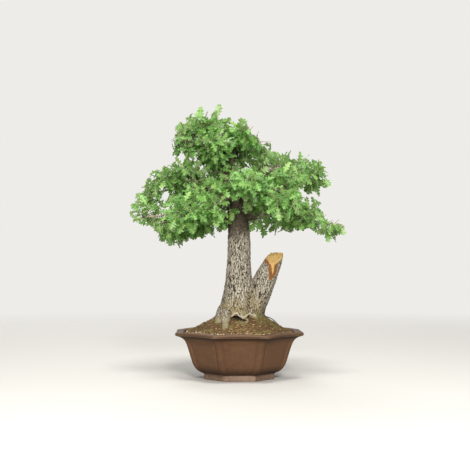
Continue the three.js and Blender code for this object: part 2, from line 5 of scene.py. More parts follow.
import bmesh
import bpy
import numpy as np
from mathutils import Matrix, Vector, kdtree, noise


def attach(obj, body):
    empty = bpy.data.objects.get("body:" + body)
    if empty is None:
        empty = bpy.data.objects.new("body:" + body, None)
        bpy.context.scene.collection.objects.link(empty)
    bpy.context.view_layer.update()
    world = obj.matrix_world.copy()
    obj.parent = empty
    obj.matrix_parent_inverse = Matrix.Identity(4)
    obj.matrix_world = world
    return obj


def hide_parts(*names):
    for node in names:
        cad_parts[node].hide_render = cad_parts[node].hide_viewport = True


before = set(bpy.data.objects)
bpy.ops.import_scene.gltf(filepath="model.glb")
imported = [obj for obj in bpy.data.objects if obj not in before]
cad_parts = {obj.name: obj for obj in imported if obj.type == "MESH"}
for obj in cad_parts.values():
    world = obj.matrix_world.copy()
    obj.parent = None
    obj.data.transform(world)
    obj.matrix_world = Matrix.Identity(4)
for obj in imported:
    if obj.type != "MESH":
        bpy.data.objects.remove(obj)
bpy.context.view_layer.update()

MM = 0.001

# Sizes that the solids have too, in millimetres
FOOT_RECESS = 93.0
FOOT_RECESS_HEIGHT = 18.0
DRAIN_X = 48.0
DRAIN_RADIUS = 13.0
SOIL_EDGE = 138.5
SOIL_RISE_FRONT = 35.0
SOIL_RISE_SIDE = 45.0
SOIL_SAG = 1.25
SOIL_FOOT = 60.0  # how far from the axis the mound starts to fall
SOIL_REACH = 158.0  # and how far from it the mound ends
SOIL_BANK = 8.0  # how high the soil is banked up along the roots
SOIL_FLAT, SOIL_CORNER = 157.6, 167  # how far the soil reaches to the pot's flats and corners
# Height and reach of the soil's sides against the pot, below its surface
SOIL_SIDES = (30.6, 99), (44, 116), (72, 127), (104, 138), (126, 151.5), (134, 155.5)
SOIL_RINGS = 44  # steps of its surface, from the wall to the middle

# Growth: angles in degrees, lengths in millimetres
FIRST_SEAT = 0.42  # how far along a limb its first spray sits
SPRAY_AWAY = (48, 66)  # degrees between a limb and the sprays on its sides
APEX_LIFT = (15, 35)  # degrees that the sprays round the leader point up
COLLAR = 8  # how far the short branch under a spray stands out of the wood
SPRAY_LENGTH = (50, 66)
SPRAY_RISE = (-0.12, 0.2)  # rise of a spray's end, as a share of its length
SPRAY_END_RADIUS = 1.2
SHOOTS = 7
SHOOTS_ALONG = (0.2, 0.96)  # where they sit on the spray, as shares of its length
SHOOT_AWAY = (42, 68)  # degrees between a spray and its shoots
SHOOT_REACH = (36, 26)  # length of the shoots, from the first to the last
SHOOT_LEAVES = 6
TIP_LEAF_AWAY, LEAF_AWAY = (5, 30), (48, 80)  # degrees between a shoot and its leaves
LEAF_DROOP = (0.05, 0.35)
LEAF_LENGTH = (32, 48)
LEAF_SCALE = 0.86
GOLDEN_ANGLE = 2.39996
LIMB_SEED, APEX_SEED = 100, 200

# Shoots beyond those of the solids, on each spray and straight from each limb
FILL_SHOOTS, FILL_SEED = 5, 7000
FILL_ALONG, FILL_AWAY, FILL_REACH = (0.05, 0.92), (40, 85), (18, 36)
LIMB_SHOOTS, LIMB_SHOOT_SEED = 10, 9000
LIMB_SHOOT_ALONG, LIMB_SHOOT_AWAY, LIMB_SHOOT_REACH = (0.14, 0.95), (45, 85), (20, 40)

# Trunk: height, centre x, centre y, radius
TRUNK = [
    (88, 4, 0, 62), (117, 4, 0, 74), (145, 2, 0, 76), (170, -1, 0, 66), (195, -4, 0, 56.5),
    (220, -3, 0, 51), (245, -2, 0, 45.5), (281, 0, 0, 40), (315, 0, -1, 36.5), (355, 1, -2, 34),
    (400, 1, -3, 33), (440, -1, -4, 31.5), (480, -4, -5, 29), (530, -13, -6, 24.5),
    (573, -25, -5, 18.5), (609, -36, -2, 14), (645, -47, 2, 10.5), (689, -62, 3, 5),
]
# Broken second stem: height, centre x, centre y, radius
STUB = [
    (135, 24, 0, 46), (195, 40, -1, 38), (245, 59.5, -3, 36.5), (298, 79, -6, 34.5), (341, 99.5, -8, 28),
    (373, 112, -9, 20),
]
# Faces of the break at its top, each a point and the way out of the wood
BREAK = [
    ((112, -5, 368), (0.12, 0.1, 1)),
    ((106, -16, 356), (-0.1, -0.65, 0.75)),
    ((94, -9, 365), (-0.65, -0.1, 0.75)),
]
# Strip of wood torn out below the break: height, centre x, half width, half width of its pale wood
TEAR = [
    (286, 89, 1, -3), (291, 91.5, 5, -2), (300, 96, 9, -1.5), (305, 98, 10.5, -0.2), (311, 98.5, 12.5, 1.8),
    (331, 99.5, 13, 4.8), (341, 102, 18, 15.5), (353, 105, 23, 27),
]
# Surface roots: start, bend and end points, start and end radius
ROOTS = [
    ((-34, -4, 188), (-70, -8, 154), (-128, -16, 122), 23, 9),
    ((-38, -22, 200), (-59, -60, 174), (-72, -96, 120), 22, 8),
    ((46, 8, 180), (90, 6, 158), (132, 12, 120), 22, 9),
    ((-30, -26, 202), (-45, -70, 180), (-40, -124, 128), 23, 7),
    ((36, -28, 192), (56, -56, 155), (84, -88, 104), 19, 8),
    ((-20, 34, 199), (-51, 76, 170), (-86, 112, 117), 19, 7),
    ((28, 36, 199), (53, 82, 168), (84, 120, 117), 19, 7),
    ((2, 40, 195), (6, 86, 164), (-6, 134, 116), 17, 7),
]
ROOTLET = [(66, -8, 180), (102, -10, 184), (124, -12, 142)]  # start, bend and end of a thin bare root
ROOTLET_RADII = 1.6, 0.9
# How roots and limbs stray from their curves, along each axis: length of a sway, amount and shift
ROOT_WANDER = (25, 5, 7), (25, 5, 11), (22, 3, 3)
LIMB_WANDER = (30, 4, 5), (30, 4, 9), (30, 4, 1)
# The hollow under the front of the trunk and three pits beside it: centre and half sizes
HOLLOWS = [
    ((-8, -66, 174), (15, 24, 10)), ((13, -66, 171), (8, 14, 4)), ((29, -60, 180), (4.5, 12, 4.5)),
    ((48, -54, 166), (5, 12, 4)),
]
# The pale callus that has grown over its edge: x and height along it
CALLUS = [
    (-41, 170), (-33, 181), (-22, 182), (-15, 189), (-6, 194), (-1, 186), (8, 181), (18, 182), (24, 188),
    (31, 191), (37, 187), (47, 184), (53, 176),
]
CALLUS_RADIUS = 2.6
TRUNK_FOOT_RADIUS = 66.5  # of the trunk where the callus lies on it
HOLLOW_FRONT = (2, -78), (36, 30)  # the dip in the soil before the hollow: middle and half sizes
HOLLOW_DIP = 2.5  # how much lower the soil lies there
HOLLOW_AXIS = np.array([0.0, 1.0, 0.1])  # the way into the hollow
HOLLOW_DEPTH = 16
FILLET_ROUNDS = 90  # rounds of smoothing where the roots leave the trunk
LIMB_FACES_KEPT = 0.4
WOOD_GRID = 1.46  # spacing of the grid that the wood is fused on
BURIED_DEPTH = 9  # how far under the soil the wood is left out

BARK_SEED = 11
PLATE_WIDTH = 5.1  # width of a plate of bark on the trunk
PLATE_LEAST = 2.8  # and on the thinnest limb
PLATE_SHARE, PLATE_SHARE_ROOT = 0.2, 0.3  # a plate's width as a share of the wood's radius
PLATE_HEIGHT = {"trunk": 2.5, "stub": 1.8, "root": 1.7, "limb": 1.5}  # for a width of 1
CROSS_CRACK = 0.09  # how much weaker the level cracks between plates are than the upright ones
CROTCH = (33, 225), (17, 42)  # the brown bark between the two stems: middle and half sizes, in x and z
PALE_TOE = (-42, 178), (16, 22)  # the pale bark to the left of the hollow, in the same way
# the darkening under the crown is painted shade
CROWN_SHADE = 378, 445  # heights between which the trunk darkens under the crown
BREAK_FROM = 295  # height above which the second stem may be broken wood
STUB_AXIS = np.array([0.41, -0.03, 0.91])  # the way the second stem grows
BACKWARDS = np.array([0.0, 1.0, 0.0])
TEAR_DEPTH = 4.5

# Limbs: name, height on the trunk, bend point, end point, start radius, number of sprays,
# and how far up the side sprays point, in degrees
LIMBS = [
    ("left_low", 456, (-98, -30, 486), (-230, -42, 474), 12, 5, -70, -15),
    ("left_mid", 525, (-114, 25, 581), (-222, 32, 553), 10, 4, -20, 45),
    ("left_front", 515, (-67, -95, 539), (-122, -162, 491), 10, 4, -30, 50),
    ("right_low", 462, (96, -30, 494), (220, -46, 459), 11, 5, -60, 25),
    ("right_mid", 540, (96, 20, 652), (187, 20, 611), 11, 4, -40, 60),
    ("right_front", 525, (51, -100, 568), (103, -174, 515), 10, 4, -30, 50),
    ("back_low", 495, (12, 100, 541), (23, 178, 513), 12, 3, -50, 20),
    ("back_left", 555, (-90, 90, 602), (-132, 150, 565), 9, 3, -30, 50),
    ("back_right", 565, (63, 95, 622), (121, 150, 575), 9, 3, -30, 50),
    ("top_right", 595, (-14, -20, 688), (18, -15, 692), 8, 3, 0, 60),
    ("top_left", 620, (-96, -10, 690), (-138, -12, 697), 7, 3, -20, 60),
]
LIMB_END_RADIUS = 3.4
SPRAY_RADIUS = 2.8
APEX_FROM, APEX_TO, APEX_SPRAYS = 623, 681, 4
LEADER_HEIGHTS, LEADER_RADIUS = (555, 635, 689), 20  # the top of the trunk, for its own short shoots

# The point in front of the tree that its crown is shaped for: x, height and distance
VIEW_X, VIEW_HEIGHT, VIEW_DISTANCE = -11.2, 325.0, 2500.0
# The outline that the crown is pruned to, seen from there: x and z
CROWN = [
    (-40, 812), (-64, 812), (-80, 796), (-92, 802), (-118, 798), (-130, 786), (-170, 767),
    (-192, 701), (-196, 647), (-230, 617), (-264, 601), (-290, 557), (-326, 514), (-330, 477),
    (-302, 459), (-260, 451), (-232, 404), (-200, 382), (-170, 380), (-138, 402), (-94, 412),
    (-40, 414), (30, 425), (60, 412), (110, 419), (155, 426), (210, 441), (242, 427), (264, 405),
    (324, 407), (312, 445), (254, 469), (242, 500), (244, 529), (268, 570), (268, 615), (240, 647),
    (181, 672), (131, 677), (83, 685), (63, 709), (29, 724), (26, 755), (-15, 782),
]
CROWN_DEPTH = 262
# Where the trunk and the dark inside show between the leaves in front: x and z ranges
WINDOWS = [(-68, -34, 486, 538), (-34, 14, 513, 538)]

# Outer wall of the pot, from the foot up: height and distance from the axis to a flat
POT_WALL = [
    (0, 98.9), (0.7, 100.1), (2, 100.5), (15.8, 100.5), (17, 100.9), (18.2, 102.6), (19.6, 105.4),
    (22.2, 111), (25.4, 116.4), (29.5, 121.2), (34.5, 125.4), (41, 129.5), (49, 133), (58, 136.1),
    (68, 139.2), (79, 142.3), (88, 145), (95.5, 147.4), (103, 150), (111, 153.6), (118, 158.2),
    (124, 164), (127.6, 169.4), (129.6, 174), (130.7, 177.6),
]
POT_LIP = [
    (131.3, 180), (132.3, 182.4), (133.9, 183.9), (135.9, 184.4), (138.1, 184.1), (139.5, 183),
    (140.2, 181), (140.5, 177.5), (140.5, 168),
]
POT_INSIDE = [
    (140.5, 163), (140, 160.6), (138.2, 159.2), (132, 157), (123, 152.5), (102, 139), (72, 128),
    (44, 117), (33, 106), (30, 100),
]
POT_TURN = 0.027  # how far the pot is turned to the left, in radians
RIM_DIP = 3.3  # how much lower the rim is at its corners
# The upright rib at a corner: half its width, how proud it stands and how sharply it falls off,
# the crease beside it, how far off that lies, and how far the rib's section runs on
RIB = {"half": 11.2, "proud": 2.0, "sharpness": 2.2, "crease": 2.3, "crease_width": 2.8,
       "crease_off": 0.6, "fade": 5}
RIB_POINTS, FLAT_POINTS = 28, 12  # steps across a rib and along a flat
WALL_GAP = 2.6  # greatest height between levels of the wall
FOOT_HEIGHT = 17
FOOT_RING, FOOT_RING_INSIDE = 97.4, 94  # the flat ring that the pot stands on
SHARP_ANGLE = 42  # degrees from which an edge of the pot is shaded as an edge

UP = Vector((0, 0, 1))


def mix(a, b, t):
    return a + (b - a) * t


def smoothstep(low, high, value):
    t = np.clip((value - low) / (high - low), 0.0, 1.0)
    return t * t * (3 - 2 * t)


class Draws:
    """A repeatable stream of numbers from 0 to 1."""

    FIRST, FACTOR, STEP, SPAN = 2654435761, 1664525, 1013904223, 2**32

    def __init__(self, seed):
        self.state = (seed + 1) * self.FIRST % self.SPAN

    def __call__(self):
        self.state = (self.state * self.FACTOR + self.STEP) % self.SPAN
        return self.state / self.SPAN


def read_table(table, key):
    """The values beside a key in a table of rows, with a smooth run between rows."""
    i = 0
    while i < len(table) - 2 and key > table[i + 1][0]:
        i += 1
    before, start, end = table[max(i - 1, 0)], table[i], table[i + 1]
    after = table[min(i + 2, len(table) - 1)]
    span = end[0] - start[0]
    t = min(max((key - start[0]) / span, 0.0), 1.0)
    values = []
    for k in range(1, len(start)):
        leave = span * (end[k] - before[k]) / (end[0] - before[0])
        arrive = span * (after[k] - start[k]) / (after[0] - start[0])
        rise = end[k] - start[k]
        run = leave + t * (3 * rise - 2 * leave - arrive + t * (leave + arrive - 2 * rise))
        values.append(start[k] + t * run)
    return values


def curve_point(a, bend, b, t):
    return a * (1 - t) ** 2 + bend * (2 * t * (1 - t)) + b * t * t


def curve_direction(a, bend, b, t):
    return ((bend - a) * (1 - t) + (b - bend) * t).normalized()


def turns(count):
    """Angles evenly spaced once round."""
    return [2 * math.pi * k / count for k in range(count)]


def round_ring(radius, height, sides, x=0.0):
    return [(x + radius * math.cos(t), radius * math.sin(t), height) for t in turns(sides)]


def side_of(direction):
    reference = Vector((1, 0, 0)) if abs(direction.z) > 0.9 else UP
    return reference.cross(direction).normalized()


def turned_from(axis, away, azimuth):
    """A direction turned away from an axis by an angle, at an azimuth round it."""
    side = side_of(axis)
    other = axis.cross(side)
    return (axis * math.cos(away) + side * (math.sin(away) * math.cos(azimuth))
            + other * (math.sin(away) * math.sin(azimuth)))


# Meshes


def mesh_object(name, points, faces, materials, smooth=True):
    """An object from points in millimetres and faces, at the origin of the frame."""
    mesh = bpy.data.meshes.new(name)
    mesh.from_pydata((np.asarray(points, float) * MM).tolist(), [], faces)
    for material in materials:
        mesh.materials.append(material)
    if smooth:
        mesh.shade_smooth()
    else:
        mesh.shade_flat()
    made = bpy.data.objects.new(name, mesh)
    bpy.context.collection.objects.link(made)
    return made


def set_attribute(mesh, name, values):
    mesh.attributes.new(name, "FLOAT", "POINT").data.foreach_set("value", np.asarray(values, np.float32))


def applied(obj):
    """Puts the result of the object's modifiers into its mesh."""
    graph = bpy.context.evaluated_depsgraph_get()
    mesh = bpy.data.meshes.new_from_object(obj.evaluated_get(graph))
    old = obj.data
    obj.modifiers.clear()
    obj.data = mesh
    bpy.data.meshes.remove(old)


def points_of(mesh):
    flat = np.empty(len(mesh.vertices) * 3)
    mesh.vertices.foreach_get("co", flat)
    return flat.reshape(-1, 3) / MM


def normals_of(mesh):
    flat = np.empty(len(mesh.vertices) * 3)
    mesh.vertex_normals.foreach_get("vector", flat)
    return flat.reshape(-1, 3)


class Shape:
    """Points and faces gathered piece by piece, in millimetres."""

    def __init__(self):
        self.points = []
        self.faces = []

    def loft(self, rings, caps=True):
        """A skin through rings that run anticlockwise seen from the last one."""
        first = len(self.points)
        n = len(rings[0])
        for ring in rings:
            self.points.extend(tuple(p) for p in ring)
        for i in range(len(rings) - 1):
            for k in range(n):
                a, b = first + i * n + k, first + i * n + (k + 1) % n
                self.faces.append((a, b, b + n, a + n))
        if caps:
            last = first + (len(rings) - 1) * n
            self.faces.append(tuple(first + k for k in reversed(range(n))))
            self.faces.append(tuple(last + k for k in range(n)))

    def stem(self, stations, sides):
        """A round stem along stations of place, direction and radius."""
        side = None
        rings = []
        for at, ahead, radius in stations:
            side = side_of(ahead) if side is None else (side - ahead * side.dot(ahead)).normalized()
            other = ahead.cross(side)
            rings.append([at + side * (radius * math.cos(t)) + other * (radius * math.sin(t))
                          for t in turns(sides)])
        self.loft(rings)


def along_curve(a, bend, b, from_radius, to_radius, steps):
    """Stations of a stem along a curve: place, direction and radius."""
    shares = [i / steps for i in range(steps + 1)]
    return [(curve_point(a, bend, b, t), curve_direction(a, bend, b, t), mix(from_radius, to_radius, t))
            for t in shares]


def root_stations(root, steps):
    start, bend, end, from_radius, to_radius = root
    return along_curve(Vector(start), Vector(bend), Vector(end), from_radius, to_radius, steps)


# Growth: where each limb, spray, shoot and leaf goes


def trunk_centre(height):
    x, y, _ = read_table(TRUNK, height)
    return Vector((x, y, height))


def limb_curve(limb):
    return trunk_centre(limb[1]), Vector(limb[2]), Vector(limb[3])


def limb_stations(limb, steps):
    return along_curve(*limb_curve(limb), limb[4], LIMB_END_RADIUS, steps)


def limb_seats(limb, seed):
    """Seats of the sprays of one limb: where each leaves the wood, and its direction."""
    name, _, _, _, from_radius, count, low_lift, high_lift = limb
    curve = limb_curve(limb)
    draw = Draws(seed)
    seats = []
    for j in range(count):
        t = mix(FIRST_SEAT, 1, j / (count - 1))
        ahead = curve_direction(*curve, t)
        at = curve_point(*curve, t)
        seat = {"name": f"{name}_{j + 1}", "limb": name, "seed": seed * 10 + j}
        if j == count - 1:
            seat.update(collar=None, base=at, direction=ahead, radius=LIMB_END_RADIUS)
        else:
            side = ahead.cross(UP).normalized() * (1 if j % 2 else -1)
            away = math.radians(mix(*SPRAY_AWAY, draw()))
            lift = math.radians(mix(low_lift, high_lift, draw()))
            direction = (ahead * math.cos(away) + side * (math.sin(away) * math.cos(lift))
                         + UP * (math.sin(away) * math.sin(lift))).normalized()
            end = at + direction * (1.6 * mix(from_radius, LIMB_END_RADIUS, t) + COLLAR)
            seat.update(collar=(at, end), base=end, direction=direction, radius=SPRAY_RADIUS)
        seats.append(seat)
    return seats


def apex_seats(seed):
    """Seats round the leader at the top of the trunk, and one at its end."""
    draw = Draws(seed)
    seats = []
    for j in range(APEX_SPRAYS):
        height = mix(APEX_FROM, APEX_TO, j / (APEX_SPRAYS - 1))
        azimuth = 2 + j * GOLDEN_ANGLE
        lift = math.radians(mix(*APEX_LIFT, draw()))
        direction = Vector((math.cos(azimuth) * math.cos(lift), math.sin(azimuth) * math.cos(lift),
                            math.sin(lift)))
        start = trunk_centre(height)
        end = start + direction * (1.3 * read_table(TRUNK, height)[2] + COLLAR)
        seats.append({"name": f"apex_{j + 1}", "limb": "apex", "seed": seed * 10 + j,
                      "collar": (start, end), "direction": direction, "radius": SPRAY_RADIUS, "base": end})
    top, x, y, radius = TRUNK[-1]
    seats.append({"name": "apex_tip", "limb": "apex", "seed": seed * 10 + 9, "collar": None,
                  "base": Vector((x, y, top)), "direction": UP.copy(), "radius": radius})
    return seats


def seen(p):
    """Where a point shows, in x and z, from the place that the crown is shaped for."""
    nearness = VIEW_DISTANCE / (VIEW_DISTANCE + p.y)
    return VIEW_X + (p.x - VIEW_X) * nearness, VIEW_HEIGHT + (p.z - VIEW_HEIGHT) * nearness


def inside_crown(p):
    """Whether a point lies inside the outline that the crown is pruned to."""
    x, z = seen(p)
    inside = False
    for (ax, az), (bx, bz) in zip(CROWN, CROWN[1:] + CROWN[:1]):
        if (az > z) != (bz > z) and x < ax + (z - az) / (bz - az) * (bx - ax):
            inside = not inside
    return inside and abs(p.y) < CROWN_DEPTH


def in_window(p, order):
    x, z = seen(p)
    hides = any(left < x < right and low < z < high for left, right, low, high in WINDOWS)
    return hides and p.y < 12 and order > 0


def shoot_leaves(start, direction, length, draw):
    """The leaves of one shoot, the one at its tip first."""
    turn = draw() * 2 * math.pi
    leaves = []
    for m in range(SHOOT_LEAVES):
        v = 1 - 0.04 * m if m < 3 else mix(0.78, 0.4, (m - 3) / (SHOOT_LEAVES - 4))
        away = math.radians(mix(*(LEAF_AWAY if m else TIP_LEAF_AWAY), draw()))
        base = start + direction * (length * v)
        heading = turned_from(direction, away, turn + m * GOLDEN_ANGLE)
        heading.z -= mix(*LEAF_DROOP, draw())
        heading.normalize()
        outward = Vector((base.x + 20, base.y, 0)).normalized()
        face = Vector((draw() - 0.5, draw() - 0.5, draw() - 0.5)) + UP * 0.6 + outward * 0.75
        face = (face - heading * face.dot(heading)).normalized()
        size = mix(*LEAF_LENGTH, draw())
        middle = base + heading * (0.5 * size)
        if inside_crown(base + heading * (0.8 * size)) and not in_window(middle, m):
            leaves.append({"base": base, "heading": heading, "face": face, "size": size, "order": m})
    return leaves


def grow_shoot(curve, t, away, azimuth, reach, draw):
    """A shoot from a place on a curve: its start, heading, length and leaves."""
    start = curve_point(*curve, t)
    heading = turned_from(curve_direction(*curve, t), away, azimuth)
    return start, heading, reach, shoot_leaves(start, heading, reach, draw)


def grow_spray(seat):
    """The stem, shoots and leaves of one spray, and the shoots that fill it out."""
    draw = Draws(seat["seed"])
    base, direction = seat["base"], seat["direction"]
    length = mix(*SPRAY_LENGTH, draw())
    rise = mix(*SPRAY_RISE, draw())
    curve = (base, base + direction * (length * 0.5),
             base + direction * length + UP * (rise * length))
    turn = draw() * 2 * math.pi
    shoots = []
    for k in range(SHOOTS):
        share = k / (SHOOTS - 1)
        away = 0.0 if k == SHOOTS - 1 else math.radians(mix(*SHOOT_AWAY, draw()))
        reach = mix(*SHOOT_REACH, share) * mix(0.85, 1.15, draw())
        azimuth = turn + k * GOLDEN_ANGLE
        shoots.append(grow_shoot(curve, mix(*SHOOTS_ALONG, share), away, azimuth, reach, draw))
    fill = Draws(seat["seed"] + FILL_SEED)
    for k in range(FILL_SHOOTS):
        t = mix(*FILL_ALONG, (k + fill()) / FILL_SHOOTS)
        away = math.radians(mix(*FILL_AWAY, fill()))
        azimuth = 2 * math.pi * fill()
        shoots.append(grow_shoot(curve, t, away, azimuth, mix(*FILL_REACH, fill()), fill))
    return along_curve(*curve, seat["radius"], SPRAY_END_RADIUS, steps=6), shoots


def limb_shoots(curve, from_radius, seed):
    """Short leafy shoots straight from a limb, between its sprays."""
    fill = Draws(seed + LIMB_SHOOT_SEED)
    shoots = []
    for k in range(LIMB_SHOOTS):
        t = mix(*LIMB_SHOOT_ALONG, (k + fill()) / LIMB_SHOOTS)
        away = math.radians(mix(*LIMB_SHOOT_AWAY, fill()))
        azimuth = 2 * math.pi * fill()
        reach = mix(*LIMB_SHOOT_REACH, fill()) + mix(from_radius, LIMB_END_RADIUS, t)
        shoots.append(grow_shoot(curve, t, away, azimuth, reach, fill))
    return shoots


# Shader helpers


class Nodes:
    """Short ways to place and join the nodes of one tree."""

    def __init__(self, tree):
        self.tree = tree
        self.made = tree.nodes

    def node(self, kind, **values):
        made = self.made.new(kind)
        for name, value in values.items():
            setattr(made, name, value)
        return made

    def link(self, source, target):
        self.tree.links.new(source, target)

    def feed(self, socket, value):
        if isinstance(value, bpy.types.NodeSocket):
            self.link(value, socket)
        else:
            socket.default_value = value

    def math(self, operation, a, b=0.5):
        made = self.node("ShaderNodeMath", operation=operation)
        self.feed(made.inputs[0], a)
        self.feed(made.inputs[1], b)
        return made.outputs[0]

    def together(self, a, share_a, b, share_b):
        """Two values added up, each by its share."""
        return self.math("ADD", self.math("MULTIPLY", a, share_a), self.math("MULTIPLY", b, share_b))

    def spread(self, value, low, high, to_low=0.0, to_high=1.0):
        made = self.node("ShaderNodeMapRange", interpolation_type="SMOOTHSTEP")
        for name, given in (("Value", value), ("From Min", low), ("From Max", high), ("To Min", to_low),
                            ("To Max", to_high)):
            self.feed(made.inputs[name], given)
        return made.outputs["Result"]

    def blend(self, factor, a, b):
        made = self.node("ShaderNodeMix", data_type="RGBA")
        self.feed(made.inputs["Factor"], factor)
        self.feed(made.inputs["A"], a)
        self.feed(made.inputs["B"], b)
        return made.outputs["Result"]

    def stretched(self, scale):
        """Object coordinates in millimetres, scaled along each axis."""
        place = self.node("ShaderNodeTexCoord").outputs["Object"]
        made = self.node("ShaderNodeMapping")
        self.link(place, made.inputs["Vector"])
        made.inputs["Scale"].default_value = tuple(s / MM for s in scale)
        return made.outputs["Vector"]

    def noise(self, vector, scale, detail, roughness=0.55):
        made = self.node("ShaderNodeTexNoise")
        self.link(vector, made.inputs["Vector"])
        for name, value in (("Scale", scale), ("Detail", detail), ("Roughness", roughness)):
            made.inputs[name].default_value = value
        return made.outputs["Fac"]

    def attribute(self, name):
        return self.node("ShaderNodeAttribute", attribute_name=name).outputs["Fac"]


def srgb(red, green, blue):
    """A colour given in 0 to 255 as the linear one that shaders take."""
    def linear(value):
        value /= 255
        return value / 12.92 if value <= 0.04045 else ((value + 0.055) / 1.055) ** 2.4
    return (linear(red), linear(green), linear(blue), 1.0)


def new_material(name):
    material = bpy.data.materials.new(name)
    material.use_nodes = True
    nodes = Nodes(material.node_tree)
    return material, nodes, material.node_tree.nodes["Principled BSDF"]


# Colours of the finishes. A pair runs from one end of the finish's uneven tone to the other.

CLAY_BODY = srgb(88, 60, 39), srgb(105, 74, 49)
CLAY_STREAK = srgb(122, 95, 72)
CLAY_FOOT = srgb(122, 99, 84), srgb(152, 127, 110)
# painted shade on the foot's side facets
CLAY_FOOT_SIDES_SHADE = srgb(100, 76, 57)
# painted shadow: the dark band under the lip
CLAY_LIP_SHADOW_PAINT = srgb(52, 33, 22)
# painted shade where the wall curves under towards the foot
CLAY_LOW_CURVE_SHADE = srgb(56, 38, 27)
CLAY_LIP = srgb(82, 58, 39), srgb(102, 76, 53)
# painted highlight along the lip's rounded lower edge
CLAY_LIP_HIGHLIGHT = srgb(138, 112, 92)
CLAY_SPECK = srgb(60, 42, 32)

BARK_PLATE = srgb(136, 129, 113), srgb(206, 200, 186)
BARK_GRAIN = srgb(134, 122, 98)
EARTHY_PLATE = srgb(92, 76, 46), srgb(182, 164, 124)
EARTHY_GRAIN = srgb(96, 76, 44)
PLATE_EDGE = srgb(90, 78, 58)
FISSURE, EARTHY_FISSURE = srgb(54, 47, 38), srgb(48, 37, 20)
# painted shade on the bark: under the crown and on the wood's sides
BARK_PAINTED_SHADE = srgb(56, 46, 34)
MOSSY_BARK = srgb(102, 99, 60), srgb(154, 147, 98)
PALE_WOOD = srgb(178, 142, 82), srgb(222, 190, 130)
RUSTY_WOOD = srgb(96, 60, 28), srgb(162, 106, 60)
CALLUS_SKIN = srgb(214, 204, 182), srgb(150, 134, 108)
# painted shade: near black in the hollow and its pits
HOLLOW_PAINTED_SHADE = srgb(20, 16, 12)
TWIG_SKIN = srgb(116, 106, 86), srgb(184, 174, 150)

LEAF_TOP = srgb(49, 104, 38), srgb(135, 188, 98)
LEAF_YOUNG = srgb(170, 198, 122)
LEAF_MOTTLE = srgb(82, 148, 62)
LEAF_VEIN = srgb(190, 212, 140)
LEAF_BELOW, LEAF_VEIN_BELOW = srgb(148, 182, 116), srgb(196, 212, 164)
LEAF_LIT_THROUGH = srgb(172, 214, 86)

SCREEN_PLASTIC = srgb(24, 25, 24), srgb(44, 45, 43)
STUDIO_AIR = srgb(238, 236, 232)
FLOOR_AS_LIT, FLOOR_AS_SEEN = srgb(160, 157, 151), srgb(216, 215, 212)


# Shader groups and materials

TONE_RANGE = 0.3, 0.7  # what the uneven tone runs over, nearly always


def new_group(name, inputs, outputs):
    """A shader node group with named float sockets."""
    tree = bpy.data.node_groups.new(name, "ShaderNodeTree")
    for way, sockets in (("INPUT", inputs), ("OUTPUT", outputs)):
        for label, default in sockets:
            socket = tree.interface.new_socket(label, in_out=way, socket_type="NodeSocketFloat")
            if default is not None:
                socket.default_value = default
    nodes = Nodes(tree)
    return tree, nodes, nodes.node("NodeGroupInput"), nodes.node("NodeGroupOutput")


def make_mottle_group():
    """Broad and fine uneven tone, the same kind on every natural surface here."""
    tree, nodes, given, result = new_group(
        "uneven_tone", [("Broad", 0.02), ("Fine", 0.2), ("Share of fine", 0.4)], [("Tone", None)])
    place = nodes.stretched((1, 1, 1))
    broad, fine = nodes.node("ShaderNodeTexNoise"), nodes.node("ShaderNodeTexNoise")
    for made, label in ((broad, "Broad"), (fine, "Fine")):
        nodes.link(place, made.inputs["Vector"])
        nodes.link(given.outputs[label], made.inputs["Scale"])
        made.inputs["Detail"].default_value = 5.0
    share = given.outputs["Share of fine"]
    rest = nodes.math("SUBTRACT", 1.0, share)
    tone = nodes.together(broad.outputs["Fac"], rest, fine.outputs["Fac"], share)
    nodes.link(tone, result.inputs["Tone"])
    return tree


MOTTLE = make_mottle_group()


def mottle(nodes, broad, fine, share):
    made = nodes.node("ShaderNodeGroup", node_tree=MOTTLE)
    for label, value in (("Broad", broad), ("Fine", fine), ("Share of fine", share)):
        made.inputs[label].default_value = value
    return made.outputs["Tone"]


def bump(nodes, shader, height, distance, strength):
    made = nodes.node("ShaderNodeBump")
    made.inputs["Strength"].default_value = strength
    made.inputs["Distance"].default_value = distance * MM
    nodes.link(height, made.inputs["Height"])
    nodes.link(made.outputs["Normal"], shader.inputs["Normal"])


def matt(shader, roughness, specular):
    shader.inputs["Roughness"].default_value = roughness
    shader.inputs["Specular IOR Level"].default_value = specular


# Where the clay changes, in metres: heights on the pot, and for the foot's ends a way from its middle
FOOT_TOP = 0.0186, 0.0172
# distances from the middle where painted shade begins on the foot's sides
FOOT_SHADE_REACH = 0.046, 0.049
# heights of the painted shade on the low curve
LOW_CURVE_SHADE_HEIGHTS = 0.046, 0.02
# heights of the painted shadow under the lip
LIP_SHADOW_HEIGHTS = 0.117, 0.1265
LIP_FROM = 0.1275, 0.1288
# heights of the painted highlight on the lip's lower edge
LIP_HIGHLIGHT_HEIGHTS = 0.1330, 0.1300


